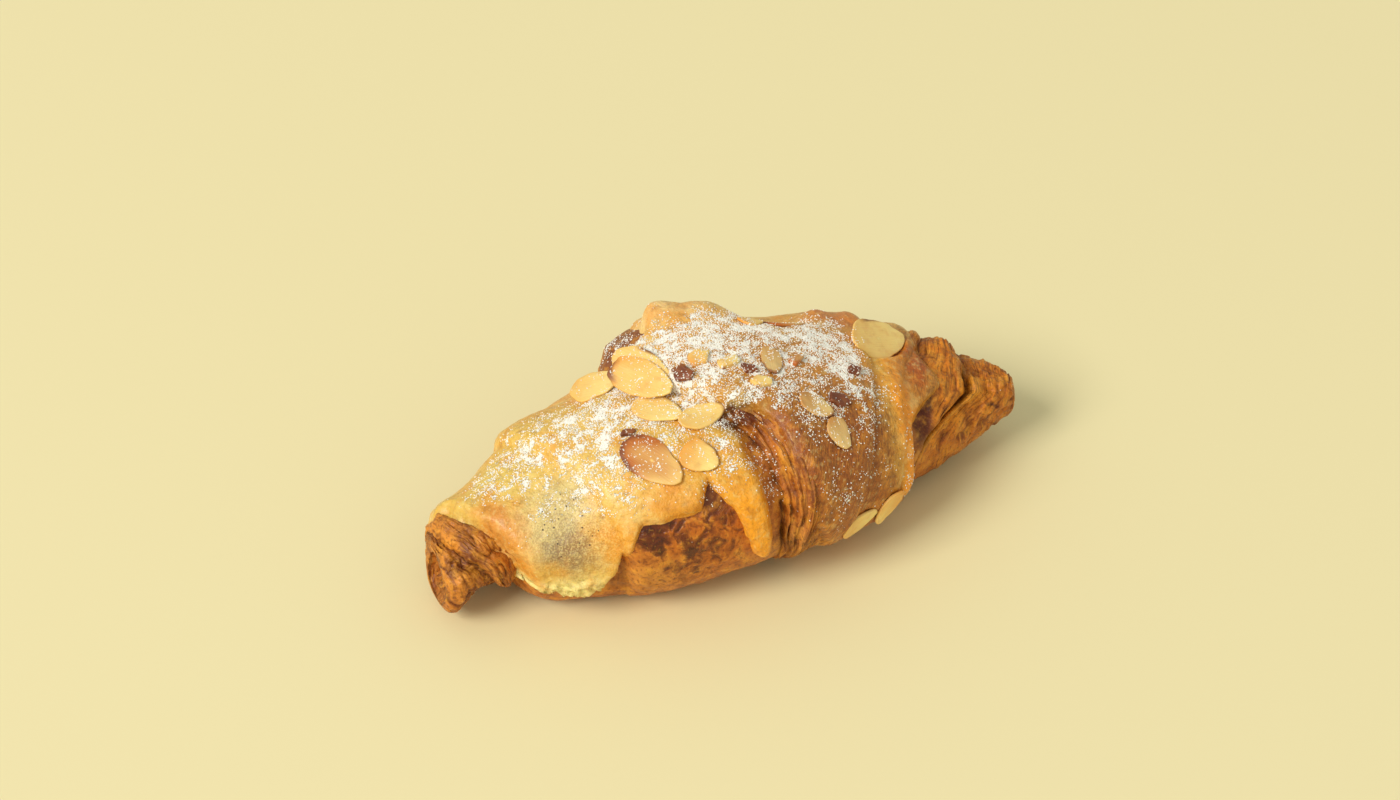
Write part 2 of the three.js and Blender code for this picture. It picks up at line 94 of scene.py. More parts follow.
@dataclass(frozen=True)
class Grain:
    """Seeded gradient noise in space, with features about as large as one unit."""

    seed: int

    DIRECTIONS = 256
    PRIMES = np.array([73856093, 19349663, 83492791])
    MIXER = 1274126177
    GAIN = 1.6
    OCTAVE_SHIFT = 17.3
    CREASE_SHARPNESS = 3.5
    CREASE_POWER = 1.5

    def at(self, points: Array) -> Array:
        """Noise at points.

        Args:
            points: Places, with three numbers each.

        Returns:
            Numbers from about -1 to 1.
        """
        cell = np.floor(points).astype(np.int64)
        local = points - cell
        fade = local**3 * (local * (6 * local - 15) + 10)
        directions = unit(np.random.default_rng(self.seed).normal(size=(self.DIRECTIONS, 3)))
        total = np.zeros(points.shape[:-1])
        for corner in itertools.product((0, 1), repeat=3):
            mixed = np.bitwise_xor.reduce((cell + corner) * self.PRIMES, axis=-1)
            mixed = (mixed ^ (mixed >> 13)) * self.MIXER
            gradient = directions[(mixed ^ (mixed >> 16)) % self.DIRECTIONS]
            weight = np.prod(np.where(corner, fade, 1 - fade), axis=-1)
            total += weight * np.sum(gradient * (local - corner), axis=-1)
        return self.GAIN * total

    def fractal(self, points: Array, octaves: int = 3) -> Array:
        """Sum of ever finer noise, from about -1.5 to 1.5."""
        return sum(self.at(points * 2**k + self.OCTAVE_SHIFT * k) / 2**k for k in range(octaves))

    def creases(self, points: Array) -> Array:
        """Thin creases: 1 along their lines and 0 away from them."""
        return np.clip(1 - self.CREASE_SHARPNESS * np.abs(self.at(points)), 0, 1) ** self.CREASE_POWER


@dataclass(frozen=True)
class Lumps:
    """Uneven relief of one kind: its seed, the size of its features and their height."""

    seed: int
    size: float | tuple[float, float, float]
    height: float = 1.0
    octaves: int = 3

    def at(self, points: Array) -> Array:
        """Heights at points."""
        return self.height * Grain(self.seed).fractal(points / np.array(self.size), self.octaves)

    def creased(self, points: Array) -> Array:
        """Depths of thin creases at points."""
        return self.height * Grain(self.seed).creases(points / np.array(self.size))


@dataclass(frozen=True)
class Tip:
    """Sizes of one blunt end of the roll."""

    end: float
    reach: float
    roll: float
    turn_in: float
    end_share: float
    lean: float
    bend: float
    droop: float
    bend_from: float
    bare_from: float
    hollow: float
    groove: float


@dataclass(frozen=True)
class Lip:
    """Edge of one wrap of dough: where it runs, and where round the roll its step is highest."""

    back: float = 0
    front: float = 0
    start: float = 0
    stop: float = 1
    step: float = 0
    sink: float = 0
    peak: float = 0


@dataclass(frozen=True)
class Swell:
    """A round swelling of the skin, or a dent where its height is negative."""

    x: float
    angle: float
    spread: float
    height: float


@dataclass
class Place:
    """Places on the roll and how they lie in their wraps."""

    x: Array
    angle: Array
    wrap: Array
    inward: Array
    span: Array


@dataclass(frozen=True)
class Roll:
    """The rolled dough: a bent spindle in overlapping wraps, worked out as the solids are."""

    girth: float = 33.8
    spindle_power: float = 1.8
    section_power: float = 2.3
    wider: float = 0.12
    flatter: float = 0.2
    belly: float = 0.13
    belly_spread: float = 45
    spine_low: float = 17
    spine_rise: float = 10
    spine_spread: float = 32
    base_lift: float = 4
    lift_from: float = 40
    lift_to: float = 58
    set_down_from: float = 64
    set_down_to: float = 78
    lean_angle: float = 130
    lip_round: float = 4
    lip_fall: float = 1.3
    lip_wander: Lumps = Lumps(2, 1, 0.6, 2)
    wander_size: float = 5
    return_from: float = 190
    return_to: float = 270
    step_fade_from: float = 65
    step_fade_to: float = 115
    step_least: float = 0.2
    layers: int = 3
    layer_depth: float = 2
    layer_warp: Lumps = Lumps(5, 1, 0.8, 1)
    strand_arc: float = 14
    strand_drift: float = 0.3
    strand_round: float = 1.6
    ridges: int = 14
    ridge_height: float = 0.2
    ridge_twist: float = 6
    ridge_fade: float = 5
    left: Tip = Tip(
        end=-85, reach=92, roll=13.6, turn_in=6, end_share=0.62, lean=2, bend=-4, droop=-3,
        bend_from=30, bare_from=70, hollow=1.4, groove=0.9,
    )
    right: Tip = Tip(
        end=87, reach=97, roll=7, turn_in=9, end_share=0.5, lean=0, bend=-11, droop=0,
        bend_from=35, bare_from=61, hollow=0.8, groove=0.4,
    )
    dents: tuple[Swell, ...] = (
        Swell(19, -45, 12, -6.5), Swell(-29, -50, 14, -4.5), Swell(-67, -50, 9, -2), Swell(-73, 140, 9, -6),
        Swell(82, 115, 8, -2.4), Swell(66, -25, 8, 1.8),
    )
    left_rim: Lip = Lip(step=2.2, sink=2, peak=-30)
    left_lips: tuple[Lip, ...] = (
        Lip(back=-81, front=-72.5, start=0, stop=120, step=4.4, sink=1, peak=45),
        Lip(back=-75.5, front=-66.5, start=-40, stop=95, step=6, sink=1, peak=125),
        Lip(back=-54, front=-42, start=-60, stop=60, step=5, sink=0.5, peak=10),
        Lip(back=-20, front=1, start=-50, stop=80, step=9, sink=0.7, peak=10),
    )
    right_lips: tuple[Lip, ...] = (
        Lip(back=48, front=22, start=-40, stop=100, step=3, sink=0.6, peak=10),
        Lip(back=64, front=38, start=-40, stop=90, step=2.5, sink=0.5, peak=10),
        Lip(back=72.5, front=47, start=38, stop=95, step=5, sink=0.6, peak=40),
    )

    LAYERED = 4
    OWN = np.array([0, 1, 2, 3, 4, 6, 7, 8, 9])
    NEXT = np.array([1, 2, 3, 4, 5, 5, 6, 7, 8])

    @property
    def lips(self) -> list[Lip]:
        """Lips in the order of the edges, with plain ones at the crown and the right end."""
        return [self.left_rim, *self.left_lips, Lip(), *self.right_lips, Lip()]

    def side(self, x: Array, name: str) -> Array:
        """Size of the nearer tip at each x."""
        return np.where(np.asarray(x) < 0, getattr(self.left, name), getattr(self.right, name))

    def spine(self, x: Array) -> Array:
        """Centre of the section.

        Args:
            x: Stations along the roll.

        Returns:
            Points of the spine.
        """
        start = self.side(x, "bend_from")
        out = np.maximum(0, (np.abs(x) - start) / (np.abs(self.side(x, "end")) - start)) ** 2
        rise = self.spine_rise * np.exp(-((x / self.spine_spread) ** 2))
        height = self.spine_low + rise + self.side(x, "droop") * out
        return np.stack([x, self.side(x, "bend") * out, height], -1)

    def axes(self, x: Array) -> tuple[Array, Array]:
        """Axes of the section.

        Args:
            x: Stations along the roll.

        Returns:
            Directions to the front and up.
        """
        ahead = unit(self.spine(x + 0.5) - self.spine(x - 0.5))
        front = unit(np.stack([ahead[..., 1], -ahead[..., 0], 0 * ahead[..., 0]], -1))
        return front, np.cross(front, ahead)

    def spindle(self, x: Array) -> Array:
        """Half size of the spindle at x."""
        bare = self.girth * np.maximum(0, 1 - (np.abs(x) / self.side(x, "reach")) ** self.spindle_power)
        return (bare**4 + self.side(x, "roll") ** 4) ** 0.25

    def swell(self, swells: tuple[Swell, ...], x: Array, angle: Array) -> Array:
        """Height that swellings and dents add.

        Args:
            swells: The swellings.
            x: Stations along the roll.
            angle: Angles round the roll.

        Returns:
            Added heights.
        """
        total = np.zeros(np.broadcast(x, angle).shape)
        for one in swells:
            arc = np.radians(angle_between(angle, one.angle)) * self.spindle(x)
            total += one.height * np.exp(-(np.hypot(x - one.x, arc) / one.spread) ** 2)
        return total

    def radius(self, x: Array, angle: Array) -> Array:
        """Radius of the plain section.

        Args:
            x: Stations along the roll.
            angle: Angles round the roll.

        Returns:
            Distances from the spine.
        """
        sine, cosine = np.sin(np.radians(angle)), np.cos(np.radians(angle))
        middle = np.maximum(0, 1 - (x / self.side(x, "end")) ** 2)
        belly = np.where(sine > 0, self.belly * np.exp(-((x / self.belly_spread) ** 2)), 0)
        wide = self.spindle(x) * (1 + self.wider * middle + belly)
        high = self.spindle(x) * (1 - self.flatter * middle)
        whole = np.abs(sine / wide) ** self.section_power + np.abs(cosine / high) ** self.section_power
        return whole ** (-1 / self.section_power) + self.swell(self.dents, x, angle)

    def lip_at(self, lip: Lip, angle: Array) -> Array:
        """x of a wrap's edge, which wanders a little.

        Args:
            lip: The edge.
            angle: Angles round the roll.

        Returns:
            Stations along the roll.
        """
        a = turned(angle)
        back = 1 - smoothstep(a, self.return_from, self.return_to)
        share = np.where(a < 180, smoothstep(a, lip.start, lip.stop), back)
        bearing = np.radians(a)
        circle = [self.wander_size * np.cos(bearing), self.wander_size * np.sin(bearing)]
        circle = np.stack([*circle, 0 * bearing + lip.back], -1)
        return lerp(lip.back, lip.front, share) + self.lip_wander.at(circle)

    def end_at(self, tip: Tip, angle: Array) -> Array:
        """x of the roll's end."""
        return tip.end + np.sign(tip.end) * tip.lean * np.cos(np.radians(angle - self.lean_angle))

    def edges(self, angle: Array) -> Array:
        """Edges of the wraps.

        Args:
            angle: Angles round the roll.

        Returns:
            x of the left end, the left lips, the crown, the right lips and the right end.
        """
        left = [self.lip_at(lip, angle) for lip in self.left_lips]
        right = [self.lip_at(lip, angle) for lip in self.right_lips]
        crown = (left[-1] + right[0]) / 2
        ends = [self.end_at(tip, angle) for tip in (self.left, self.right)]
        return np.stack([ends[0], *left, crown, *right, ends[1]])

    def place(self, x: Array, angle: Array) -> Place:
        """Finds the wraps that places lie in.

        Args:
            x: Stations along the roll.
            angle: Angles round the roll.

        Returns:
            The places.
        """
        x, angle = np.broadcast_arrays(np.asarray(x, float), np.asarray(angle, float))
        edges = self.edges(angle)
        wrap = np.clip((edges <= x).sum(0) - 1, 0, len(self.OWN) - 1)
        own = np.take_along_axis(edges, self.OWN[wrap][None], 0)[0]
        following = np.take_along_axis(edges, self.NEXT[wrap][None], 0)[0]
        span = np.abs(following - own)
        return Place(x, angle, wrap, np.minimum(span, np.abs(x - own)), span)

    def grid(self, angles: Array, rows: tuple[int, ...], crowd: float) -> Place:
        """Rows of places from end to end that follow the edges of the wraps.

        Args:
            angles: Angles of the columns.
            rows: Rows between each two edges.
            crowd: How much the rows crowd at the wrap's own edge.

        Returns:
            The places, row by row.
        """
        edges = self.edges(angles)
        parts = []
        for wrap, count in enumerate(rows):
            own, following = edges[self.OWN[wrap]], edges[self.NEXT[wrap]]
            shares = (np.arange(count + (wrap == self.LAYERED)) / count) ** crowd
            shares = shares if wrap <= self.LAYERED else shares[::-1]
            inward = shares[:, None] * np.abs(following - own)
            x = own + shares[:, None] * (following - own)
            parts.append((x, np.full_like(x, wrap), inward, 0 * x + np.abs(following - own)))
        x, wrap, inward, span = (np.concatenate(part) for part in zip(*parts))
        return Place(x, 0 * x + angles, wrap.astype(int), inward, span)

    def strand_rise(self, place: Place) -> Array:
        """Rise at the edge of the last wrap, whose layers show as rounded strands.

        Args:
            place: Places in that wrap.

        Returns:
            Shares of the whole step.
        """
        arc = place.angle / self.strand_arc
        warp = self.layer_warp.at(np.stack([arc, self.strand_drift * place.inward, 0 * arc], -1))
        at = np.clip((place.inward + warp) / self.layer_depth, 0, self.layers)
        layer = np.minimum(self.layers - 1, np.floor(at))
        rounded = np.sqrt(1 - (1 - np.minimum(1, self.strand_round * (at - layer))) ** 2)
        return (layer + rounded) / self.layers

    def lift(self, place: Place, smooth: bool = False, share: float = 1.0) -> Array:
        """Height of the wraps over the plain section.

        Args:
            place: Places on the roll.
            smooth: Whether the last wrap's edge is one rounded step.
            share: Share of the steps that is felt.

        Returns:
            Heights.
        """
        sizes = ([getattr(lip, name) for lip in self.lips] for name in ("step", "sink", "peak"))
        steps, sinks, peaks = map(np.array, sizes)

        def step(edge: Array) -> Array:
            """Height of the edges' steps round the roll.

            Args:
                edge: Numbers of the edges.

            Returns:
                Heights.
            """
            away = angle_between(place.angle, peaks[edge])
            fade = smoothstep(away, self.step_fade_from, self.step_fade_to)
            return share * steps[edge] * lerp(1, self.step_least, fade)

        own, following = self.OWN[place.wrap], self.NEXT[place.wrap]
        foot = -step(own) * sinks[own]
        crest = step(own) + foot
        fallen = (place.inward / place.span) ** self.lip_fall
        fall = lerp(crest, -step(following) * sinks[following], fallen)
        rise = np.sqrt(1 - (1 - np.minimum(1, place.inward / self.lip_round)) ** 2)
        if not smooth:
            rise = np.where(place.wrap == self.LAYERED, self.strand_rise(place), rise)
        bare_from = self.side(place.x, "bare_from")
        bare = smoothstep(np.abs(place.x) - bare_from, 0, self.ridge_fade)
        ridge = np.sin(np.radians(self.ridges * place.angle + self.ridge_twist * place.x))
        return foot + (fall - foot) * rise + self.ridge_height * ridge * bare

    def base_at(self, x: Array) -> Array:
        """Lowest that the skin may come.

        Args:
            x: Stations along the roll.

        Returns:
            Heights over the floor.
        """
        out = np.abs(x)
        lifted = self.base_lift * smoothstep(out, self.lift_from, self.lift_to)
        return lifted * np.where(x < 0, 1 - smoothstep(out, self.set_down_from, self.set_down_to), 1)

    def skin(self, x: Array, angle: Array, lift: Array, share: Array = 1.0) -> Array:
        """Points of the skin.

        Args:
            x: Stations along the roll.
            angle: Angles round the roll.
            lift: Heights over the plain section.
            share: How far the points are drawn in towards the spine.

        Returns:
            Points in the dough's frame.
        """
        end = np.where(x < 0, self.end_at(self.left, angle), self.end_at(self.right, angle))
        past = np.clip(1 - np.abs(end - x) / self.side(x, "turn_in"), 0, 1)
        turn_in = lerp(self.side(x, "end_share"), 1, np.sqrt(1 - past**2))
        radius = (self.radius(x, angle) + lift) * turn_in * share
        front, up = self.axes(x)
        sine, cosine = np.sin(np.radians(angle)), np.cos(np.radians(angle))
        points = self.spine(x) + front * (radius * sine)[..., None] + up * (radius * cosine)[..., None]
        points[..., 2] = np.maximum(points[..., 2], self.base_at(x))
        return points

    def locate(self, points: Array) -> tuple[Array, Array]:
        """Places on the roll nearest to points.

        Args:
            points: Points in the dough's frame.

        Returns:
            Stations along the roll and angles round it.
        """
        x = points[..., 0].copy()
        for _ in range(4):
            front, up = self.axes(x)
            x += np.sum((points - self.spine(x)) * np.cross(up, front), axis=-1)
        away = points - self.spine(x)
        front, up = self.axes(x)
        return x, np.degrees(np.arctan2(np.sum(away * front, -1), np.sum(away * up, -1)))


class Slot(Enum):
    """Material slots of the record."""

    CRUST = "crust"
    CREAM = "almond_cream"
    ALMOND = "almond"
    SUGAR = "icing_sugar"


class Value:
    """A shader socket: arithmetic on it adds Math nodes."""

    def __init__(self, shader: "Shader", socket: bpy.types.NodeSocket) -> None:
        """Wraps a socket of a shader."""
        self.shader = shader
        self.socket = socket

    def math(self, operation: str, *values: "Value | float") -> "Value":
        """Result of a Math node on values."""
        return self.shader.node("ShaderNodeMath", {"operation": operation}, dict(enumerate(values)))

    def __add__(self, other: "Value | float") -> "Value":
        """Sum."""
        return self.math("ADD", self, other)

    def __sub__(self, other: "Value | float") -> "Value":
        """Difference."""
        return self.math("SUBTRACT", self, other)

    def __rsub__(self, other: float) -> "Value":
        """Difference from a number."""
        return self.math("SUBTRACT", other, self)

    def __mul__(self, other: "Value | float") -> "Value":
        """Product."""
        return self.math("MULTIPLY", self, other)

    __radd__ = __add__
    __rmul__ = __mul__

    def step(self, low: float, high: float) -> "Value":
        """Soft step from 0 at low to 1 at high."""
        sockets = {"Value": self, "From Min": low, "From Max": high}
        return self.shader.node("ShaderNodeMapRange", {"interpolation_type": "SMOOTHSTEP"}, sockets)


class Shader:
    """A material's node tree with one Principled shader."""

    DUST = paint(255, 252, 242)
    DUST_FINE = 1700
    DUST_CLUMPS = 440
    DUST_LEVEL = 0.662
    DUST_EDGE = 0.03

    def __init__(self, name: str) -> None:
        """Makes the material.

        Args:
            name: Its name.
        """
        self.material = bpy.data.materials.new(name)
        self.material.use_nodes = True
        self.tree = self.material.node_tree
        self.surface = self.tree.nodes["Principled BSDF"]

    @staticmethod
    def socket(sockets: bpy.types.bpy_prop_collection, key: str | int) -> bpy.types.NodeSocket:
        """Finds a socket.

        Args:
            sockets: The node's inputs or outputs.
            key: Its place, its identifier or its name.

        Returns:
            The socket.
        """
        if isinstance(key, int):
            return sockets[key]
        return next((s for s in sockets if s.identifier == key), None) or sockets[key]

    def connect(self, node: bpy.types.Node, sockets: dict) -> None:
        """Links sockets to values, or sets them to numbers.

        Args:
            node: The node that has the sockets.
            sockets: What each socket takes.
        """
        for key, given in sockets.items():
            socket = self.socket(node.inputs, key)
            if isinstance(given, Value):
                self.tree.links.new(given.socket, socket)
            elif getattr(socket, "type", "") == "RGBA":
                socket.default_value = (*given, 1)[:4]
            else:
                socket.default_value = given

    def node(
        self,
        kind: str,
        settings: dict | None = None,
        sockets: dict | None = None,
        output: str | int = 0,
    ) -> Value:
        """Adds a node.

        Args:
            kind: The node's type.
            settings: Properties that are set first.
            sockets: What each of its sockets takes.
            output: The socket that is wanted.

        Returns:
            The output.
        """
        made = self.tree.nodes.new(kind)
        for name, setting in (settings or {}).items():
            setattr(made, name, setting)
        self.connect(made, sockets or {})
        return Value(self, self.socket(made.outputs, output))

    def attribute(self, name: str, output: str = "Fac") -> Value:
        """The piece's own attribute."""
        return self.node("ShaderNodeAttribute", {"attribute_name": name}, output=output)

    def places(self) -> Value:
        """Object coordinates, in metres."""
        return self.node("ShaderNodeTexCoord", output="Object")

    def stretched(self, vector: Value, factors: tuple[float, float, float]) -> Value:
        """Vector multiplied by factors, axis by axis."""
        return self.node("ShaderNodeVectorMath", {"operation": "MULTIPLY"}, {0: vector, 1: factors})

    def noise(self, vector: Value, scale: float, detail: float = 2, distortion: float = 0) -> Value:
        """Noise from 0 to 1, with a number of features to each unit."""
        sockets = {"Vector": vector, "Scale": scale, "Detail": detail, "Distortion": distortion}
        return self.node("ShaderNodeTexNoise", {}, sockets, "Fac")

    def spots(self, vector: Value, scale: float) -> Value:
        """Distance to the nearest of scattered spots."""
        return self.node("ShaderNodeTexVoronoi", {}, {"Vector": vector, "Scale": scale}, "Distance")

    def mix(self, share: Value, first: Value | Colour, last: Colour) -> Value:
        """Colour mixed from two, with a share of the last."""
        sockets = {"Factor_Float": share, "A_Color": first, "B_Color": last}
        return self.node("ShaderNodeMix", {"data_type": "RGBA"}, sockets, "Result_Color")

    def coated(self, *coats: tuple[Value, Colour]) -> Value:
        """The piece's own tint under coats of other colours.

        Args:
            coats: Share and colour of each coat, from the lowest to the highest.

        Returns:
            The colour.
        """
        colour = self.attribute("tint", "Color")
        for share, coat in coats:
            colour = self.mix(share, colour, coat)
        return colour

    def relief(self, height: Value, depth: float) -> Value:
        """Normal of a fine relief, whose height of 1 stands for a depth in millimetres."""
        sockets = {"Height": height, "Distance": depth * METRES, "Strength": 1.0}
        return self.node("ShaderNodeBump", {}, sockets)

    def dusted(self, colour: Value) -> tuple[Value, Value]:
        """Colour under a dust of icing sugar, which the attribute sugar holds.

        Args:
            colour: Colour of the bare surface.

        Returns:
            The dusted colour, and the share of dust.
        """
        sugar = self.attribute("sugar")
        fine = self.noise(self.places(), self.DUST_FINE, 2)
        clumps = self.noise(self.places(), self.DUST_CLUMPS, 3)
        level = fine * 0.5 + clumps * 0.5 + sugar * 0.25 - self.DUST_LEVEL
        dust = level.step(0, self.DUST_EDGE) * sugar.step(0.01, 0.06)
        return self.mix(dust * 0.95, colour, self.DUST), dust


@dataclass(frozen=True)
class CrustFinish:
    """Browned flaky crust, with fine lines of its layers and dark mottled blisters."""

    # dark is also the painted shade and glow the painted highlight that Pastry mixes into the crust's tint.
    dark: Colour = paint(102, 44, 13)
    burnt: Colour = paint(62, 27, 10)
    glow: Colour = paint(238, 164, 54)
    roughness: float = 0.42

    def material(self) -> bpy.types.Material:
        """Builds the material.

        Returns:
            The material.
        """
        shader = Shader("browned_crust")
        flow = shader.attribute("flow", "Vector")
        layered = shader.attribute("layered")
        lines = shader.noise(shader.stretched(flow, (1.1, 0.1, 1)), 1, 3, 0.6)
        threads = shader.noise(shader.stretched(flow, (2.6, 0.2, 1)), 1, 2, 0.3)
        patches = shader.noise(shader.places(), 260, 4)
        blister = shader.noise(shader.places(), 270, 4, 0.6)
        pores = shader.noise(shader.places(), 1100, 3)
        charred = shader.attribute("char")
        char = (charred + blister * 1.5 - 1.26).step(0, 0.3)
        deep = (charred + blister * 1.5 + pores * 0.5 - 1.72).step(0, 0.3)
        colour, dust = shader.dusted(shader.coated(
            (patches.step(0.48, 0.68) * 0.55, self.glow),
            ((1 - patches).step(0.5, 0.7) * 0.5, self.dark),
            ((1 - lines).step(0.48, 0.66) * layered * 0.6, self.dark),
            (threads.step(0.54, 0.68) * layered * 0.4, self.glow),
            (char * 0.95, self.dark),
            (deep * 0.85, self.burnt),
            ((1 - pores).step(0.52, 0.7) * 0.55, self.dark),
            (pores.step(0.56, 0.74) * 0.3, self.glow),
        ))
        height = (lines * 0.5 + threads * 0.25) * layered + pores * 0.35 + dust * 0.3 - char * 0.3
        shader.connect(shader.surface, {
            "Base Color": colour,
            "Roughness": self.roughness + dust * 0.35 - char * 0.15,
            "Normal": shader.relief(height, 0.9),
            "Specular IOR Level": 0.32,
            "Coat Weight": char * 0.12,
            "Coat Roughness": 0.2,
            "Subsurface Weight": 0.04,
            "Subsurface Radius": (1.0, 0.5, 0.2),
            "Subsurface Scale": 0.001,
        })
        return shader.material


@dataclass(frozen=True)
class CreamFinish:
    """Baked almond cream: golden, a little glossy, with pores and dark specks."""

    amber: Colour = paint(232, 152, 46)
    pale: Colour = paint(252, 226, 146)
    toasted: Colour = paint(128, 68, 22)
    speck: Colour = paint(58, 42, 28)
    roughness: float = 0.36

    def material(self) -> bpy.types.Material:
        """Builds the material.

        Returns:
            The material.
        """
        shader = Shader("baked_almond_cream")
        flow = shader.attribute("flow", "Vector")
        streaks = shader.noise(shader.stretched(flow, (0.8, 0.16, 1)), 1, 4, 1.0)
        bristle = shader.noise(shader.stretched(flow, (2.6, 0.5, 1)), 1, 3, 0.4)
        cloud = shader.noise(shader.places(), 150, 4)
        blotch = shader.noise(shader.places(), 380, 3, 0.5)
        grain = shader.noise(shader.places(), 700, 4)
        pores = shader.noise(shader.places(), 2200, 2)
        flecks = shader.spots(shader.places(), 520)
        thin = shader.attribute("thin")
        speckle = shader.attribute("speckle")
        colour, dust = shader.dusted(shader.coated(
            (cloud.step(0.48, 0.68) * (0.6 - speckle * 1.3), self.amber),
            ((1 - blotch).step(0.52, 0.72) * (thin * 0.35 + 0.26), self.toasted),
            (blotch.step(0.54, 0.72) * thin * 0.4, self.amber),
            ((1 - cloud).step(0.52, 0.72) * 0.4 * (1 - thin), self.pale),
            (grain.step(0.54, 0.7) * 0.3, self.pale),
            ((1 - grain).step(0.52, 0.7) * (thin * 0.4 + 0.2), self.toasted),
            ((1 - streaks).step(0.48, 0.7) * thin * 0.35, self.toasted),
            ((1 - bristle).step(0.5, 0.66) * thin * 0.65, self.toasted),
            (bristle.step(0.54, 0.7) * thin * 0.45, self.amber),
            (pores.step(0.5, 0.62) * speckle * 1.3, self.pale),
            ((1 - pores).step(0.52, 0.64) * speckle * 0.8, self.toasted),
            # Dark specks: pores in the hollow, and on the crown painted shade between sugar crumbs.
            ((speckle + 0.24 - flecks).step(0.36, 0.46) * 0.9, self.speck),
        ))
        bumps = grain * 0.6 + blotch * 0.6 + pores * 0.25 + dust * 0.4
        height = bumps + (streaks * 0.4 + bristle * 0.5) * thin
        shader.connect(shader.surface, {
            "Base Color": colour,
            "Roughness": self.roughness + dust * 0.4 + grain * 0.1,
            "Normal": shader.relief(height, 0.75),
            "Specular IOR Level": 0.36,
            "Coat Weight": 0.18 - dust * 0.18,
            "Coat Roughness": 0.18,
            "Subsurface Weight": 0.12,
            "Subsurface Radius": (1.0, 0.6, 0.2),
            "Subsurface Scale": 0.0015,
        })
        return shader.material


@dataclass(frozen=True)
class AlmondFinish:
    """Sliced almond: satin with a faint grain; its tint holds the toasted colour and the brown skin."""

    toasted: Colour = paint(214, 140, 60)
    roughness: float = 0.4

    def material(self) -> bpy.types.Material:
        """Builds the material.

        Returns:
            The material.
        """
        shader = Shader("sliced_almond")
        flow = shader.attribute("flow", "Vector")
        fibres = shader.noise(shader.stretched(flow, (0.25, 2.6, 1)), 1, 2)
        cloud = shader.noise(shader.places(), 300, 3)
        colour, dust = shader.dusted(shader.coated(
            (cloud.step(0.5, 0.75) * 0.3, self.toasted),
            (fibres.step(0.5, 0.75) * 0.16, self.toasted),
        ))
        shader.connect(shader.surface, {
            "Base Color": colour,
            "Roughness": self.roughness + dust * 0.4,
            "Normal": shader.relief(fibres * 0.6 + dust * 0.4, 0.15),
            "Subsurface Weight": 0.15,
            "Subsurface Radius": (1.0, 0.65, 0.3),
            "Subsurface Scale": 0.0015,
        })
        return shader.material


@dataclass(frozen=True)
class SugarFinish:
    """Icing sugar: matt white powder."""

    white: Colour = paint(255, 253, 246)
    shade: Colour = paint(248, 240, 222)

    def material(self) -> bpy.types.Material:
        """Builds the material.

        Returns:
            The material.
        """
        shader = Shader("icing_sugar")
        clumps = shader.noise(shader.places(), 500, 2)
        shader.connect(shader.surface, {
            "Base Color": shader.mix(clumps, self.white, self.shade),
            "Roughness": 0.85,
            "Specular IOR Level": 0.3,
        })
        return shader.material


@dataclass(frozen=True)
class FloorFinish:
    """Plain pale card under the croissant."""

    card: Colour = paint(241, 227, 176)
    light: Colour = paint(250, 236, 190)

    def material(self) -> bpy.types.Material:
        """Builds the material.

        Returns:
            The material.
        """
        shader = Shader("pale_card")
        cloud = shader.noise(shader.places(), 3, 1)
        shader.connect(shader.surface, {
            "Base Color": shader.mix(cloud * 0.08, self.card, self.light),
            "Roughness": 0.9,
            "Specular IOR Level": 0.1,
        })
        return shader.material


@dataclass(frozen=True)
class Spot:
    """A soft spot on the roll: its middle, how far it reaches along and round the roll, and its weight."""

    x: float
    angle: float
    along: float
    around: float
    weight: float = 1.0

    CORE = 1.4

    def share(self, x: Array, angle: Array) -> Array:
        """Share of the spot that is felt at places."""
        away = ((x - self.x) / self.along) ** 2 + ((angle - self.angle) / self.around) ** 2
        return np.clip(self.CORE * self.weight * np.exp(-away), 0, self.weight)


@dataclass(frozen=True)
class Patch(Spot):
    """A spot of colour."""

    colour: Colour = (0.0, 0.0, 0.0)


RAGGED_X = Lumps(31, 7, 3.0)
RAGGED_ANGLE = Lumps(32, 7, 6.0)


def painted(base: Colour, patches: tuple[Patch, ...], x: Array, angle: Array, points: Array) -> Array:
    """Colours of a surface that is painted patch by patch, with ragged edges.

    Args:
        base: Colour where there is no patch.
        patches: Patches in the order of painting.
        x: Stations along the roll.
        angle: Angles round the roll.
        points: Points of the surface.

    Returns:
        A colour for each point.
    """
    ragged_x = x + RAGGED_X.at(points)
    ragged_angle = angle + RAGGED_ANGLE.at(points)
    tint = np.broadcast_to(np.array(base), (*x.shape, 3)).copy()
    for patch in patches:
        share = patch.share(ragged_x, ragged_angle)[..., None]
        tint = lerp(tint, np.array(patch.colour), share)
    return tint


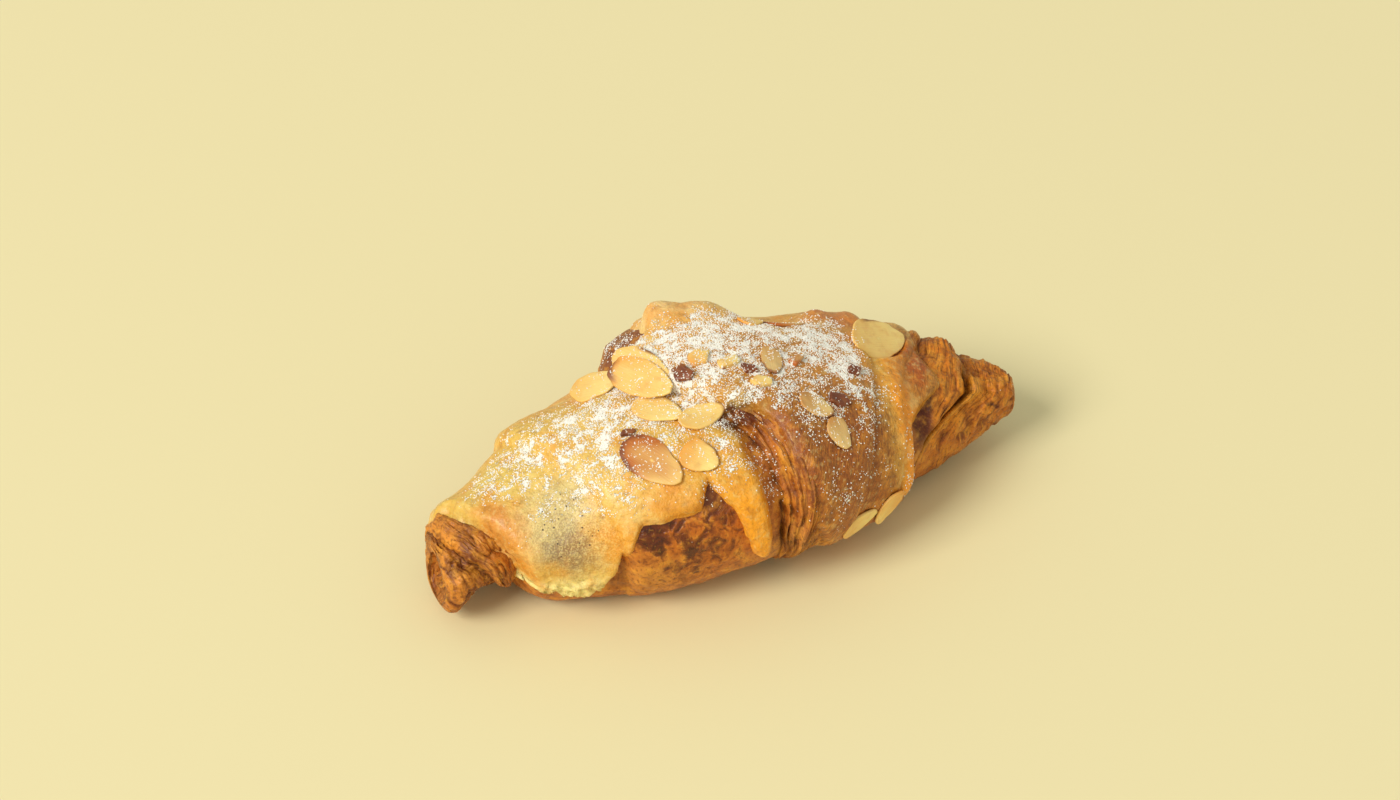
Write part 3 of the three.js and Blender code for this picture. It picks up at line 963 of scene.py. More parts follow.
@dataclass
class Surface:
    """Points, faces and attributes of one piece, in the dough's frame."""

    points: Array
    faces: list
    tint: Array
    sugar: Array
    extra: dict[str, Array]

    def mesh(self, name: str) -> bpy.types.Mesh:
        """Makes the mesh, in metres in the frame of the solids.

        Args:
            name: The mesh's name.

        Returns:
            The mesh.
        """
        mesh = bpy.data.meshes.new(name)
        mesh.from_pydata((self.points - DOUGH_MIDDLE) * METRES, [], self.faces)
        rgba = np.concatenate([self.tint, np.ones((len(self.tint), 1))], axis=1)
        tints = mesh.attributes.new("tint", "FLOAT_COLOR", "POINT")
        tints.data.foreach_set("color", rgba.astype(np.float32).ravel())
        for label, numbers in ({"sugar": self.sugar} | self.extra).items():
            kind, field = ("FLOAT", "value") if numbers.ndim == 1 else ("FLOAT_VECTOR", "vector")
            made = mesh.attributes.new(label, kind, "POINT")
            made.data.foreach_set(field, numbers.astype(np.float32).ravel())
        mesh.shade_smooth()
        return mesh

    def piece(self, name: str, material: bpy.types.Material, slot: Slot, *nodes: str) -> bpy.types.Object:
        """Makes the piece and puts it in the place of solids.

        Args:
            name: The piece's name.
            material: Its finish.
            slot: Slot of the record that the finish belongs to.
            nodes: Solids that it stands for.

        Returns:
            The piece.
        """
        mesh = self.mesh(name)
        mesh.materials.append(material)
        return settle(bpy.data.objects.new(name, mesh), slot, *nodes)


def settle(piece: bpy.types.Object, slot: Slot, *nodes: str) -> bpy.types.Object:
    """Puts a finished piece on the body that it rides on.

    Args:
        piece: The piece.
        slot: Not used.
        nodes: Solids that it stands for.

    Returns:
        The piece.
    """
    if piece.name not in bpy.context.scene.collection.objects:
        bpy.context.scene.collection.objects.link(piece)
    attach(piece, BODY)
    if nodes:
        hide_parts(*nodes)
    triangles = sum(len(face.vertices) - 2 for face in piece.data.polygons)
    LOG.info("%s: %d triangles", piece.name, triangles)
    return piece


class Dressed:
    """A piece that takes the place of a solid: its name, its slot and the solid's node."""

    NAME: str
    SLOT: Slot
    NODE: str

    def surface(self) -> Surface:
        """Works out the piece's surface."""
        raise NotImplementedError

    def build(self, material: bpy.types.Material) -> Surface:
        """Makes the piece.

        Args:
            material: Its finish.

        Returns:
            Its surface.
        """
        surface = self.surface()
        surface.piece(self.NAME, material, self.SLOT, self.NODE)
        return surface


@dataclass(frozen=True)
class SugarFall:
    """How thickly icing sugar has fallen on each part of the croissant."""

    x_from: Fade = (-73, -60)
    x_to: Fade = (27, 44)
    angle_from: Fade = (-62, -18)
    angle_to: Fade = (36, 66)
    even: float = 0.27
    heaped: float = 0.43
    scatter: float = 0.06
    scatter_from: Fade = (-110, -80)
    scatter_to: Fade = (80, 118)
    most: float = 0.95
    clumping: float = 0.4
    clumped_from: Fade = (0, 0.3)
    bare_below: Fade = (0.01, 0.2)
    clumps: tuple[Lumps, ...] = (Lumps(41, 4, 1.0, 2), Lumps(42, 1.5, 0.7, 1))
    heaps: tuple[Spot, ...] = (
        Spot(-30, 2, 12, 18, 0.7), Spot(-6, 2, 11, 24, 0.78), Spot(14, 0, 12, 22, 0.52),
        Spot(27, 14, 7, 20, 0.8), Spot(-7, 52, 5, 10, 0.7), Spot(-32, 38, 14, 14, 0.45),
        Spot(-58, -10, 12, 16, 0.5), Spot(-14, -46, 6, 14, 0.6), Spot(3, 35, 5, 6, 0.5),
        Spot(-14, 66, 4, 5, 0.4), Spot(-2, 68, 2.5, 12, 0.5), Spot(20, 66, 16, 34, 0.2),
        Spot(44, 60, 4, 34, 0.15), Spot(3, -24, 12, 10, 0.5), Spot(40, 46, 2, 8, 0.4),
        Spot(42, 66, 2.5, 8, 0.5), Spot(42, 84, 2.5, 7, 0.5),
    )
    clear: tuple[Spot, ...] = (
        Spot(-2, -40, 9, 9, 0.85), Spot(0, 50, 5, 9, 0.7), Spot(-55, 52, 9, 16, 0.5),
        Spot(-66, 30, 7, 20, 0.8), Spot(50, 36, 8, 30, 0.7),
    )

    def density(self, roll: Roll, points: Array) -> Array:
        """Thickness of the sugar.

        Args:
            roll: The roll that the points lie on.
            points: Points in the dough's frame.

        Returns:
            Numbers from 0, bare, to 1, white.
        """
        x, angle = roll.locate(points)
        fall = smoothstep(x, *self.x_from) * (1 - smoothstep(x, *self.x_to))
        fall = fall * smoothstep(angle, *self.angle_from) * (1 - smoothstep(angle, *self.angle_to))
        thick = self.even * fall
        for heap in self.heaps:
            thick = thick + self.heaped * heap.share(x, angle)
        for gap in self.clear:
            thick = thick * (1 - gap.share(x, angle))
        top = (1 - smoothstep(angle, *self.scatter_to)) * smoothstep(angle, *self.scatter_from)
        cover = np.clip(thick + self.scatter * top, 0, self.most)
        uneven = self.clumping * sum(clumps.at(points) for clumps in self.clumps)
        thickness = np.clip(cover + uneven * smoothstep(cover, *self.clumped_from), 0, 1)
        return thickness * smoothstep(cover, *self.bare_below)


def tube_faces(rows: int, columns: int) -> list:
    """Faces of a closed tube of rows, with a pole at each end after the last row.

    Args:
        rows: Number of rows.
        columns: Number of columns in each.

    Returns:
        Faces as lists of point numbers, pointing out.
    """
    near = np.arange(columns)
    following = (near + 1) % columns
    starts = (np.arange(rows - 1) * columns)[:, None]
    lower = [starts + near, starts + following]
    quads = np.stack([*lower, lower[1] + columns, lower[0] + columns], -1)
    last = (rows - 1) * columns
    first_cap = np.stack([np.full(columns, rows * columns), following, near], -1)
    last_cap = np.stack([np.full(columns, rows * columns + 1), last + near, last + following], -1)
    return quads.reshape(-1, 4).tolist() + first_cap.tolist() + last_cap.tolist()


class Toast(Enum):
    """Toasting of almond: its pale colour, its browned colour and how far the brown has spread."""

    PALE = (paint(253, 222, 138), paint(242, 182, 84), 0.6)
    GOLDEN = (paint(253, 218, 130), paint(240, 164, 64), 0.8)
    TAN = (paint(240, 206, 134), paint(204, 142, 70), 0.8)
    BROWN = (paint(254, 212, 126), paint(192, 106, 36), 1.25)
    DARK = (paint(140, 72, 36), paint(98, 46, 24), 0.9)


@dataclass(frozen=True)
class Look:
    """Look of a piece of almond: its toasting, where brown skin is left on its edge, and its sugar."""

    toast: Toast
    skin_from: float = 0
    skin_arc: float = 0
    dust: float = 0.4


@dataclass(frozen=True)
class Cut:
    """Cut of a piece of almond: how uneven and curled it is, its corners, and its points and rings."""

    jag: float
    curl: float
    corners: int = 0
    columns: int = 56
    rings: int = 8


@dataclass(frozen=True)
class Flake:
    """A flat piece of almond: its middle, its axes and its half sizes."""

    centre: Array
    ahead: Array
    across: Array
    out: Array
    half_length: float
    half_width: float
    thick: float

    POINT = 0.22
    MIDDLE_RING = 0.06
    EDGE_RING = 1.03
    EDGE_ROUND = 0.3
    CURL_LEVEL = 0.4
    OUTLINE = Lumps(51, 1 / 1.7, octaves=2)
    FACE = Lumps(52, (0.5, 0.5, 1), 0.15, 1)
    BROWNING = Lumps(53, 1, 0.35, 1)
    EDGE_BROWN = 0.15
    BROWN_RING = (0.8, 1)
    SKIN = paint(122, 60, 30)
    SKIN_SHARE = 0.9
    SKIN_RING = (0.84, 0.97)
    SKIN_FADE = 25

    def shape(self, cut: Cut, seed: int) -> tuple[Array, Array, Array]:
        """Works out the flake's shape in its own axes.

        Args:
            cut: How it is cut.
            seed: Seed of its uneven outline.

        Returns:
            Shares of its half length and its half width, and heights, from its lower to its upper face.
        """
        shares = np.sin(np.linspace(self.MIDDLE_RING, 1, cut.rings) * np.pi / 2)
        upper = self.thick / 2 * (1 - self.EDGE_ROUND * shares**6)
        share = np.concatenate([shares, [self.EDGE_RING], shares[::-1]])[:, None]
        height = np.concatenate([-upper, [0], upper[::-1]])[:, None]
        bearing = np.linspace(0, 2 * np.pi, cut.columns, endpoint=False)
        ring = np.stack([np.cos(bearing), np.sin(bearing), 0 * bearing + seed], -1)
        uneven = 1 + cut.jag * self.OUTLINE.at(ring)
        if cut.corners:
            side_arc = 2 * np.pi / cut.corners
            past_corner = np.mod(bearing + seed, side_arc) - side_arc / 2
            uneven = uneven * np.cos(side_arc / 2) / np.cos(past_corner)
        along = share * uneven * np.cos(bearing)
        side = share * uneven * np.sin(bearing) * (1 - self.POINT * np.cos(bearing))
        rough = self.FACE.at(np.stack([along, side, 0 * side + seed], -1))
        return along, side, height + cut.curl * (along**2 - self.CURL_LEVEL) + rough

    def tint(self, look: Look, along: Array, side: Array, seed: int) -> Array:
        """Colours of the flake.

        Args:
            look: How it is toasted, and the skin on its edge.
            along: Shares of its half length.
            side: Shares of its half width.
            seed: Seed of its uneven toasting.

        Returns:
            A colour for each point, and two for the poles.
        """
        pale, brown, spread = (np.array(part) for part in look.toast.value)
        radial = np.hypot(along, side)
        drift = self.BROWNING.at(np.stack([along, side, 0 * along + seed], -1))
        browned = spread * (0.5 - 0.5 * along + drift)
        browned = browned + self.EDGE_BROWN * smoothstep(radial, *self.BROWN_RING)
        tint = lerp(pale, brown, np.clip(browned, 0, 1)[..., None])
        bearing = np.degrees(np.linspace(0, 2 * np.pi, along.shape[1], endpoint=False))
        past = np.mod(bearing - look.skin_from, 360)
        arc = smoothstep(past, 0, self.SKIN_FADE)
        arc = arc * (1 - smoothstep(past, look.skin_arc, look.skin_arc + self.SKIN_FADE))
        skin = self.SKIN_SHARE * smoothstep(radial, *self.SKIN_RING) * arc
        tint = lerp(tint, np.array(self.SKIN), skin[..., None])
        return np.concatenate([tint.reshape(-1, 3), [pale, pale]])

    def surface(self, roll: Roll, sugar: SugarFall, look: Look, cut: Cut, seed: int) -> Surface:
        """Works out the flake.

        Args:
            roll: The roll that it lies on.
            sugar: The sugar that has fallen on it.
            look: How it looks.
            cut: How it is cut.
            seed: Seed of its uneven outline.

        Returns:
            The flake with its colours.
        """
        along, side, height = self.shape(cut, seed)
        length, width = self.half_length * along, self.half_width * side
        points = self.centre + length[..., None] * self.ahead + width[..., None] * self.across
        points = points + height[..., None] * self.out
        points = np.concatenate([points.reshape(-1, 3), points[[0, -1]].mean(1)])
        flow = np.stack([length, width, 0 * width + seed], -1).reshape(-1, 3)
        flow = np.concatenate([flow, np.zeros((2, 3))])
        white = look.dust * sugar.density(roll, points)
        faces = tube_faces(len(along), cut.columns)
        return Surface(points, faces, self.tint(look, along, side, seed), white, {"flow": flow})


@dataclass(frozen=True)
class AlmondSlices:
    """The whole almond slices, each in the place of its solid."""

    roll: Roll
    sugar: SugarFall
    name: str = "almond_slice_{:02d}"
    cut: Cut = Cut(jag=0.08, curl=0.45)
    looks: tuple[Look, ...] = (
        Look(Toast.BROWN, 120, 130), Look(Toast.GOLDEN, 150, 60, 0.3), Look(Toast.PALE, 60, 40),
        Look(Toast.PALE, 330, 50), Look(Toast.PALE, 20, 50), Look(Toast.PALE, 300, 90),
        Look(Toast.GOLDEN, 20, 60), Look(Toast.PALE, 60, 40, 0.8), Look(Toast.TAN, 300, 60, 0.9),
        Look(Toast.TAN, 40, 40, 0.9), Look(Toast.GOLDEN, 0, 60), Look(Toast.BROWN, 0, 200),
        Look(Toast.PALE, 200, 40), Look(Toast.GOLDEN, 90, 60), Look(Toast.TAN, 270, 120),
    )

    def flake(self, name: str) -> Flake:
        """Reads a slice's middle, axes and sizes from its solid.

        Args:
            name: The solid's node.

        Returns:
            The slice.
        """
        points = np.array([v.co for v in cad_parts[name].data.vertices]) / METRES + DOUGH_MIDDLE
        points = np.unique(points.round(4), axis=0)
        centre = points.mean(0)
        axes = np.linalg.svd(points - centre)[2]
        axes[2] *= np.sign(axes[2] @ (centre - self.roll.spine(centre[0])))
        spread = (points - centre) @ axes.T
        axes[0] *= -np.sign(np.sum(np.abs(spread[:, 1]) * spread[:, 0]))
        axes[1] = np.cross(axes[2], axes[0])
        half = np.ptp(spread, axis=0) / 2
        return Flake(centre, axes[0], axes[1], axes[2], half[0], half[1], 2 * half[2])

    def flakes(self) -> tuple[Flake, ...]:
        """Middles, axes and sizes of all slices."""
        return tuple(self.flake(self.name.format(number)) for number in range(1, len(self.looks) + 1))

    def build(self, material: bpy.types.Material) -> list[Surface]:
        """Makes the pieces.

        Args:
            material: Their finish.

        Returns:
            Their surfaces.
        """
        surfaces = []
        for number, (flake, look) in enumerate(zip(self.flakes(), self.looks), 1):
            node = self.name.format(number)
            surface = flake.surface(self.roll, self.sugar, look, self.cut, number)
            surface.piece(node + "_toasted", material, Slot.ALMOND, node)
            surfaces.append(surface)
        return surfaces


def slab_faces(kept: Array) -> Array:
    """Faces of a closed slab over the kept cells of a grid, whose lower points follow the upper ones.

    Args:
        kept: Which cells of the grid are kept.

    Returns:
        Point numbers of the faces, which point out.
    """
    rows, columns = kept.shape[0] + 1, kept.shape[1] + 1
    index = np.arange(rows * columns).reshape(rows, columns)
    a, b, c, d = index[:-1, :-1], index[:-1, 1:], index[1:, :-1], index[1:, 1:]
    under = rows * columns
    faces = [np.stack([a, b, d, c], -1)[kept], np.stack([c, d, b, a], -1)[kept] + under]
    padded = np.pad(kept, 1)
    sides = (
        (a, b, padded[:-2, 1:-1]), (b, d, padded[1:-1, 2:]),
        (d, c, padded[2:, 1:-1]), (c, a, padded[1:-1, :-2]),
    )
    for first, last, beside in sides:
        bare = kept & ~beside
        faces.append(np.stack([last, first, first + under, last + under], -1)[bare])
    return np.concatenate(faces)


@dataclass(frozen=True)
class AlmondCream(Dressed):
    """The baked sheet of almond cream, with its drip, its torn edge and its coat on the right."""

    roll: Roll
    sugar: SugarFall
    slices: tuple[Flake, ...]
    thick: float = 2
    thin: float = 1
    follow: float = 0.6
    gap: float = 0.3
    rim: float = 2.6
    sunk: float = 2.2
    left: float = -78.5
    left_slants: Triples = ((3, -45, -28), (9, -40, 95))
    right: float = 60
    right_slants: Triples = ((-13, 34, 64), (-8, 84, 102))
    right_bulge: float = 3
    bulge_angle: float = 33
    bulge_spread: float = 16
    back: float = -78
    back_wave: float = 2.5
    back_wavelength: float = 32
    underside: float = 190
    front: tuple[tuple[float, float], ...] = (
        (-68, 95), (-63, 102), (-54, 109), (-46, 94), (-41.6, 79), (-37, 69), (-34.5, 65), (-24, 69),
        (-18.6, 69), (-14.4, 61), (-12.6, 71), (-10.8, 77), (-10.4, 94), (-9.6, 100.5), (-8, 103.5),
        (-6, 102.5), (-4.6, 97), (12, 108),
    )
    lowest: float = 108
    margin: float = 8
    band_left: float = -3.6
    band_top: float = 34
    band_from: float = -7
    band_slope: float = 0.6
    band_right: float = 1.4
    band_flares: Triples = ((3, 30, 60), (4, 60, 85), (5, 88, 104))
    bare_back: float = -7.5
    bare_top: float = -27
    bare_from: float = -15
    bare_slope: float = -1.2
    torn_angle: Fade = (82, 94)
    torn_from: Fade = (-74, -68)
    torn_to: Fade = (-52, -46)
    rags: Lumps = Lumps(21, 5, 0.5)
    tears: Lumps = Lumps(22, 1.8, 1.5)
    lumps: tuple[Lumps, ...] = (Lumps(23, 6, 0.3), Lumps(24, 1.8, 0.1))
    crumbs: Lumps = Lumps(25, 1.6, 1.3)
    crumb_lift: float = 0.5
    press_depth: float = 8
    press_edge: Fade = (0.95, 1.08)
    humps: tuple[Swell, ...] = (
        Swell(-4.5, -40, 4.5, 5), Swell(4.5, -38, 5.5, 3.8), Swell(33, -34, 5, 2), Swell(43, -29, 4.5, 1.6),
        Swell(43, 42, 5, 1.2), Swell(42.5, 64, 5, 1.8), Swell(41.5, 88, 5.5, 2.2), Swell(-53, 55, 9, -1.3),
    )
    rows: tuple[int, ...] = (2, 16, 40, 50, 56, 34, 32, 34, 12)
    crowd: float = 1.25
    columns: int = 215
    base: Colour = paint(230, 181, 74)
    patches: tuple[Patch, ...] = (
        Patch(0, -70, 90, 22, 1, paint(236, 168, 72)), Patch(-62, -6, 14, 34, 1, paint(234, 198, 96)),
        Patch(-38, 20, 16, 40, 1, paint(238, 194, 98)), Patch(-69, 34, 4, 34, 0.9, paint(222, 138, 52)),
        Patch(-64, 46, 5, 22, 0.8, paint(232, 158, 64)), Patch(-56, 50, 8, 20, 0.95, paint(232, 208, 140)),
        Patch(-51, 36, 6, 14, 0.8, paint(214, 190, 124)), Patch(-55, 68, 6, 16, 0.75, paint(136, 112, 86)),
        Patch(-43, 70, 6, 12, 0.8, paint(236, 158, 46)), Patch(-24, 62, 10, 8, 0.8, paint(234, 156, 46)),
        Patch(0, -22, 16, 20, 1, paint(236, 170, 66)), Patch(8, 8, 22, 20, 0.85, paint(198, 124, 34)),
        Patch(-1, -42, 10, 12, 1, paint(252, 208, 134)), Patch(38, -30, 14, 18, 1, paint(204, 126, 60)),
        Patch(6, 24, 8, 12, 0.9, paint(226, 152, 58)), Patch(20, 66, 14, 40, 1, paint(168, 92, 22)),
        Patch(3, 74, 7, 40, 1, paint(162, 84, 19)), Patch(26, 96, 14, 14, 1, paint(178, 98, 23)),
        Patch(28, 16, 12, 26, 1, paint(208, 130, 40)), Patch(45, 52, 6, 50, 1, paint(255, 156, 22)),
        Patch(40, 22, 6, 18, 1, paint(240, 172, 56)), Patch(56, 14, 7, 34, 1, paint(186, 92, 20)),
        Patch(-8, 84, 6, 22, 1, paint(255, 168, 28)), Patch(-5, 38, 3.2, 6.5, 1, paint(108, 52, 30)),
    )
    rim_colour: Colour = paint(236, 152, 38)
    rim_share: float = 0.7
    rim_reach: Fade = (0.6, 2.6)
    rim_angle: Fade = (40, 60)
    dull_rim_from: Fade = (-3, 2)
    dull_rim_to: Fade = (36, 42)
    crumb_colour: Colour = paint(255, 234, 150)
    crumb_share: float = 0.9
    # Where the dark specks go: pores in the hollow, and on the crown painted shade between sugar crumbs.
    specks: tuple[Spot, ...] = (Spot(-53, 52, 12, 30, 0.31), Spot(8, 4, 26, 24, 0.24))
    coat_from: Fade = (-2, 8)
    coat_to: Fade = (30, 40)
    coat_angle: Fade = (18, 45)
    brown_from: Fade = (48, 54)
    brown_angle: Fade = (40, 60)
    brown_share: float = 0.7
    flow_lean: float = 0.35
    sugar_edge: Fade = (0, 1)

    NAME = "almond_cream_sheet"
    SLOT = Slot.CREAM
    NODE = "almond_cream"

    @staticmethod
    def flared(edge: float, flares: Triples, angle: Array) -> Array:
        """x of an edge that moves in steps, each with its width and the angles that it takes."""
        return edge + sum(width * smoothstep(angle, start, stop) for width, start, stop in flares)

    def inside(self, x: Array, angle: Array) -> Array:
        """Distance to the rim of the cream, positive on the cream.

        Args:
            x: Stations along the roll.
            angle: Angles round the roll.

        Returns:
            Distances.
        """
        a = turned(angle)
        a = np.where(a > self.underside, a - 360, a)
        per_degree = math.radians(1) * self.roll.spindle(x)
        front = np.interp(x, *zip(*self.front))
        back = self.back + self.back_wave * np.sin(2 * np.pi * x / self.back_wavelength)
        bulge = self.right_bulge * np.exp(-(((a - self.bulge_angle) / self.bulge_spread) ** 2))
        right = self.flared(self.right, self.right_slants, a) + bulge
        lip = self.roll.lip_at(self.roll.left_lips[-1], angle)
        band_top = self.band_top + self.band_slope * (x - self.band_from)
        bare_top = self.bare_top + self.bare_slope * (x - self.bare_from)
        off_band = np.maximum.reduce([
            np.minimum(lip, self.band_left) - x,
            x - self.flared(self.band_right, self.band_flares, a),
            (band_top - a) * per_degree,
        ])
        off_back = np.maximum.reduce([lip - x, x - self.bare_back, (a - bare_top) * per_degree])
        return np.minimum.reduce([
            x - self.flared(self.left, self.left_slants, a),
            right - x,
            (front - a) * per_degree,
            (a - back) * per_degree,
            off_band,
            off_back,
        ])

    def torn(self, x: Array, angle: Array) -> Array:
        """Share of the torn, crumbly edge at places."""
        along = smoothstep(x, *self.torn_from) * (1 - smoothstep(x, *self.torn_to))
        return along * smoothstep(angle, *self.torn_angle)

    def face(self, x: Array, angle: Array) -> tuple[Array, Array, Array]:
        """Points of the cream's face: it fills the steps of the wraps and dives under the skin at its rim.

        Args:
            x: Stations along the roll.
            angle: Angles round the roll.

        Returns:
            The points, the skin's lift under them and the distance inside the rim.
        """
        place = self.roll.place(x, angle)
        under = self.roll.lift(place)
        plain = self.roll.skin(place.x, place.angle, under)
        torn = self.torn(place.x, place.angle)
        ragged = self.rags.at(plain) + torn * self.tears.at(plain)
        inside = np.clip(self.inside(place.x, place.angle) + ragged, -self.sunk - 1, self.rim)
        thick = self.thick + self.roll.swell(self.humps, place.x, place.angle)
        filled = np.maximum(under + self.thin, self.roll.lift(place, True, self.follow) + thick)
        rim = inside / self.rim
        lumps = sum(one.at(plain) for one in self.lumps)
        crumbs = torn * (self.crumbs.at(plain) + self.crumb_lift)
        lift = np.where(inside < 0, rim * self.thick, (filled - under + lumps + crumbs) * rim * (2 - rim))
        return self.roll.skin(place.x, place.angle, under + self.gap + lift), under, inside

    def pressed(self, points: Array) -> Array:
        """Points of the face, pushed down where almond slices lie in it.

        Args:
            points: Points of the face.

        Returns:
            The pushed points.
        """
        for one in self.slices:
            away = points - one.centre
            reach = np.hypot(away @ one.ahead / one.half_length, away @ one.across / one.half_width)
            over = np.maximum(0, away @ one.out + one.thick / 2 + self.gap)
            push = over * (over < self.press_depth) * (1 - smoothstep(reach, *self.press_edge))
            points = points - one.out * push[..., None]
        return points

    def surface(self) -> Surface:
        """Works out the sheet.

        Returns:
            The sheet with its colours.
        """
        angles = np.linspace(self.back - self.margin, self.lowest + self.margin, self.columns)
        place = self.roll.grid(angles, self.rows, self.crowd)
        top, under, inside = self.face(place.x, place.angle)
        top = self.pressed(top).reshape(-1, 3)
        bottom = self.roll.skin(place.x, place.angle, under - self.sunk).reshape(-1, 3)
        cells = np.maximum.reduce([inside[:-1, :-1], inside[1:, :-1], inside[:-1, 1:], inside[1:, 1:]])
        used, faces = np.unique(slab_faces(cells > -self.sunk), return_inverse=True)
        x, angle, inside = place.x.ravel(), place.angle.ravel(), inside.ravel()
        arc = np.radians(angle) * self.roll.spindle(x)
        face = {
            "tint": self.tint(x, angle, inside, top),
            "speckle": sum(spot.share(x, angle) for spot in self.specks),
            "thin": self.coat(x, angle),
            "flow": np.stack([x + self.flow_lean * arc, arc, 0 * x], -1),
        }
        extra = {name: np.concatenate([one, one])[used] for name, one in face.items()}
        sugar = self.sugar.density(self.roll, top) * smoothstep(inside, *self.sugar_edge)
        sugar = np.concatenate([sugar, 0 * sugar])[used]
        points = np.concatenate([top, bottom])[used]
        return Surface(points, faces.reshape(-1, 4).tolist(), extra.pop("tint"), sugar, extra)

    def tint(self, x: Array, angle: Array, inside: Array, points: Array) -> Array:
        """Colours of the face, with its golden rim and its pale torn edge.

        Args:
            x: Stations along the roll.
            angle: Angles round the roll.
            inside: Distances to the rim.
            points: Points of the face.

        Returns:
            A colour for each point.
        """
        torn = self.torn(x, angle)
        dull = smoothstep(x, *self.dull_rim_from) * (1 - smoothstep(x, *self.dull_rim_to))
        rim = (1 - smoothstep(inside, *self.rim_reach)) * smoothstep(angle, *self.rim_angle)
        rim = self.rim_share * rim * (1 - torn) * (1 - dull)
        tint = painted(self.base, self.patches, x, angle, points)
        tint = lerp(tint, np.array(self.rim_colour), rim[:, None])
        return lerp(tint, np.array(self.crumb_colour), self.crumb_share * torn[:, None])

    def coat(self, x: Array, angle: Array) -> Array:
        """Share of the thin browned coat: in front on the right, and less on top beside the right end.

        Args:
            x: Stations along the roll.
            angle: Angles round the roll.

        Returns:
            Numbers from 0 to 1.
        """
        front = smoothstep(x, *self.coat_from) * (1 - smoothstep(x, *self.coat_to))
        front = front * smoothstep(angle, *self.coat_angle)
        top = smoothstep(x, *self.brown_from) * (1 - smoothstep(angle, *self.brown_angle))
        return front + self.brown_share * top


